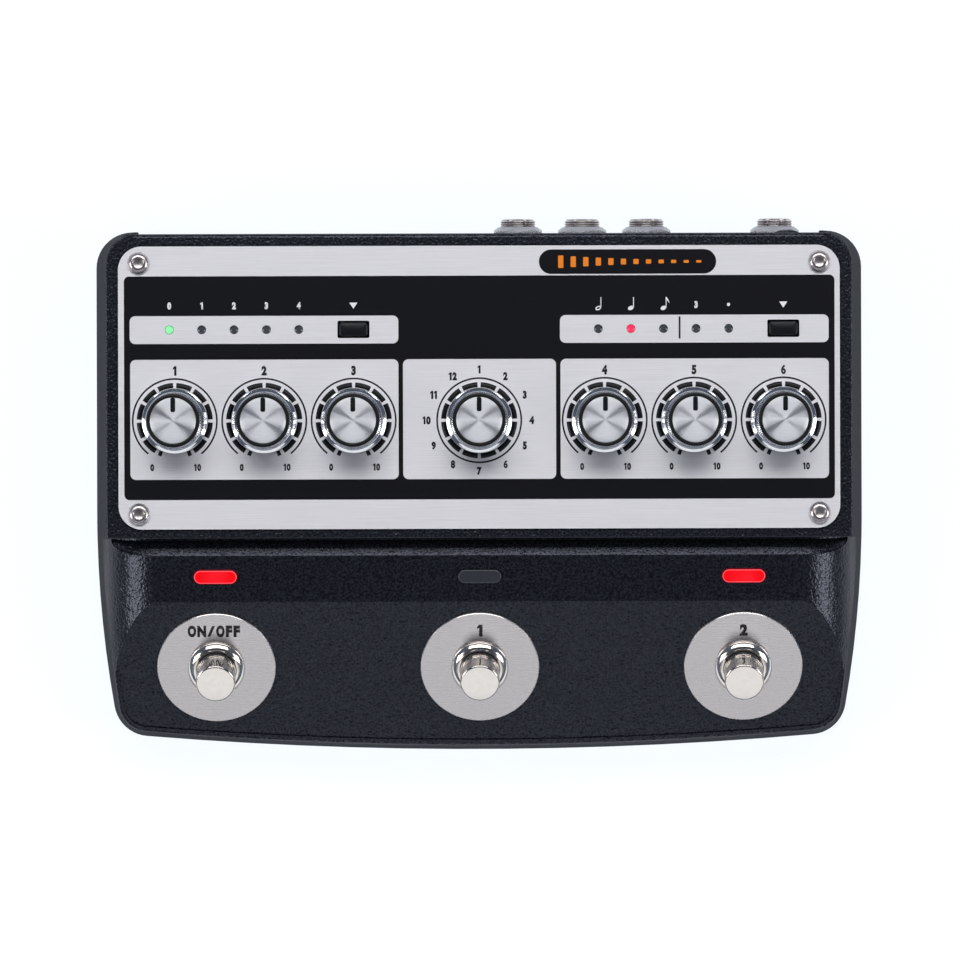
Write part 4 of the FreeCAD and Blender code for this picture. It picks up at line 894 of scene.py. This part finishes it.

# Each spring's coil is the CAD's own, cut out for each switch.
for side, x in SWITCHES:
    work = bmesh.new()
    work.from_mesh(nodes["plunger_springs"].data)
    others = [vertex for vertex in work.verts if abs(vertex.co.x - x) > 10 * MM]
    bmesh.ops.delete(work, geom=others, context="VERTS")
    coil = bpy.data.meshes.new("plunger_spring_" + side)
    work.to_mesh(coil)
    work.free()
    coil.materials.clear()
    coil.materials.append(turned_metal)
    spring = bpy.data.objects.new("plunger_spring_" + side, coil)
    bpy.context.scene.collection.objects.link(spring)
    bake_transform(spring)
    if side == "left":
        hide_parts("plunger_springs")

WASHER_TOP = 1.0 * MM
WORD_Y, WORD_HEIGHT = 10.0, 3.2
words = []
for text, x, width in (("ON/OFF", -STATION_X - 0.5 * MM, 1.0), ("1", 0.0, 0.9), ("2", STATION_X, 0.9)):
    word = figure(text, 0.0, WORD_Y, WORD_HEIGHT, stretch=width, gap=0.075)
    word.transform(Matrix.Translation((0, 0, WASHER_TOP)))
    words.append(seated(word, x))
place_mesh("washer_figures", joined(words), black_ink, "case")


# Rear sockets: nickel-plated threaded sleeves with hex nuts, DIN and data sockets and a power inlet.
# The sleeves' threads are rolled, and so fine that they read as rounded ridges right round.

# Satin nickel is a dull grey shine. A rolled thread spreads its gloss along the ridges.
satin_nickel = plated("satin_nickel", "#8E8E93", "#A6A5AA", 0.2, 0.28)
rolled_nickel = plated("rolled_thread_nickel", "#B4AEAC", "#D0CAC8", 0.24, 0.32, Anisotropic=0.75,
                       Anisotropic_Rotation=0.25)
tree = rolled_nickel.node_tree
around = add_node(tree, "ShaderNodeTangent", {"direction_type": "UV_MAP", "uv_map": "turned"})
feed(tree.nodes["Principled BSDF"], Tangent=around.outputs[0])

THREAD_CREST, THREAD_ROOT, THREAD_PITCH, SLEEVE_BORE = 4.4, 4.05, 0.56, 3.25
THREADS, THREAD_STEPS, PLAIN_END, CHAMFER = 4, 8, 0.35, 0.15


def sleeve_outline(length):
    """Half of a sleeve's section: the bore, a chamfered end and four rounded threads before it."""
    outline = [(SLEEVE_BORE, 0.0), (THREAD_CREST, 0.0)]
    start = length - PLAIN_END - THREADS * THREAD_PITCH
    for step in range(THREADS * THREAD_STEPS + 1):
        swell = math.sin(math.pi * (step % THREAD_STEPS) / THREAD_STEPS) ** 0.7
        outline.append((THREAD_ROOT + (THREAD_CREST - THREAD_ROOT) * swell,
                        start + step * THREAD_PITCH / THREAD_STEPS))
    return outline + [(THREAD_ROOT, length - CHAMFER), (THREAD_ROOT - CHAMFER, length),
                      (SLEEVE_BORE + CHAMFER, length), (SLEEVE_BORE, length - CHAMFER), (SLEEVE_BORE, 0.0)]


JACK_X = (9.8, 25.8, 41.8, 73.8)
JACK_Z = 16.0
sleeve_low, sleeve_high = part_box("jack_sleeves")
sleeve_length = (sleeve_high.y - sleeve_low.y) / MM
sleeves = []
for x in JACK_X:
    sleeve = revolve(sleeve_outline(sleeve_length), 48)
    hole = Matrix.Translation((x * MM, sleeve_low.y, JACK_Z * MM))
    sleeve.transform(hole @ Matrix.Rotation(-math.pi / 2, 4, "X"))
    sleeves.append(sleeve)
sleeve_piece = place_mesh("jack_thread_sleeves", joined(sleeves), rolled_nickel, "case")
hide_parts("jack_sleeves")
dress("jack_nuts", satin_nickel)


# Studio: white paper and a white backdrop, with large soft lamps behind, in front and to each side.
# The camera looks straight down, as in the photograph.

# The paper looks white, to the eye and in the part's gloss, but lights the sides only as grey does.
floor_finish = bpy.data.materials.new("white_paper")
floor_finish.use_nodes = True
tree = floor_finish.node_tree
tree.nodes.clear()
paper = add_node(tree, "ShaderNodeBsdfDiffuse", links={"Color": linear("#707071")})
glow = add_node(tree, "ShaderNodeEmission", links={"Color": linear("#F4F9FF"), "Strength": 0.95})
rays = add_node(tree, "ShaderNodeLightPath")
seen = add_node(tree, "ShaderNodeMath", {"operation": "MAXIMUM"},
                {0: rays.outputs["Is Camera Ray"], 1: rays.outputs["Is Glossy Ray"]})
seen = add_node(tree, "ShaderNodeMath", {"operation": "MAXIMUM"},
                {0: seen.outputs[0], 1: rays.outputs["Is Transmission Ray"]})
lit = add_node(tree, "ShaderNodeAddShader", links={0: paper.outputs[0], 1: glow.outputs[0]})
choice = add_node(tree, "ShaderNodeMixShader",
                  links={0: seen.outputs[0], 1: paper.outputs[0], 2: lit.outputs[0]})
add_node(tree, "ShaderNodeOutputMaterial", links={0: choice.outputs[0]})
work = bmesh.new()
bmesh.ops.create_grid(work, x_segments=1, y_segments=1, size=6.0)
floor_mesh = bpy.data.meshes.new("floor")
work.to_mesh(floor_mesh)
work.free()
floor_mesh.materials.append(floor_finish)
floor = bpy.data.objects.new("floor", floor_mesh)
bpy.context.scene.collection.objects.link(floor)

world = bpy.data.worlds.new("studio")
bpy.context.scene.world = world
world.use_nodes = True
tree = world.node_tree
tree.nodes.clear()
direction = add_node(tree, "ShaderNodeTexCoord")
height = add_node(tree, "ShaderNodeSeparateXYZ", links={0: direction.outputs["Generated"]})
sky = add_node(tree, "ShaderNodeValToRGB", links={0: height.outputs["Z"]})
sky.color_ramp.elements[0].position = 0.0
sky.color_ramp.elements[0].color = linear("#6C7688")
sky.color_ramp.elements[1].position = 0.95
sky.color_ramp.elements[1].color = linear("#444852")
rays = add_node(tree, "ShaderNodeLightPath")
backdrop = add_node(tree, "ShaderNodeMix", {"data_type": "RGBA"},
                    {0: rays.outputs["Is Camera Ray"], 6: sky.outputs[0], 7: linear("#FFFFFF")})
air = add_node(tree, "ShaderNodeBackground", links={"Color": backdrop.outputs[2], "Strength": 1.0})
add_node(tree, "ShaderNodeOutputWorld", links={0: air.outputs[0]})

PART_MIDDLE = Vector((0.0, 0.0, 0.02))


def softbox(name, place, size, power):
    """A soft lamp that faces the part, placed and sized in metres, with its power in watts."""
    light = bpy.data.lights.new(name, "AREA")
    light.shape = "RECTANGLE"
    light.size, light.size_y = size
    light.energy = power
    lamp = bpy.data.objects.new(name, light)
    lamp.location = place
    lamp.rotation_euler = (PART_MIDDLE - Vector(place)).to_track_quat("-Z", "Y").to_euler()
    bpy.context.scene.collection.objects.link(lamp)


softbox("rear_softbox", (0.0, 1.15, 1.95), (2.6, 0.8), 31)
softbox("front_softbox", (0.0, -1.6, 1.5), (2.6, 0.6), 4.5)
softbox("left_softbox", (-1.55, -0.3, 1.25), (0.8, 0.75), 13)
softbox("right_softbox", (1.55, -0.3, 1.25), (0.8, 0.75), 13)

CAMERA_HEIGHT = 2188 * MM
VIEW_WIDTH = 237.15 * MM
VIEW_DISTANCE = 2150 * MM
SENSOR_WIDTH = 36
camera_data = bpy.data.cameras.new("camera")
camera_data.sensor_width = SENSOR_WIDTH
camera_data.lens = SENSOR_WIDTH * VIEW_DISTANCE / VIEW_WIDTH
camera = bpy.data.objects.new("camera", camera_data)
camera.location = (0.16 * MM, 1.0 * MM, CAMERA_HEIGHT)
camera.rotation_euler = (0, 0, math.radians(-0.16))      # the part lies a hair off square in the photograph
bpy.context.scene.collection.objects.link(camera)
bpy.context.scene.camera = camera
bpy.context.scene.view_settings.view_transform = "Standard"
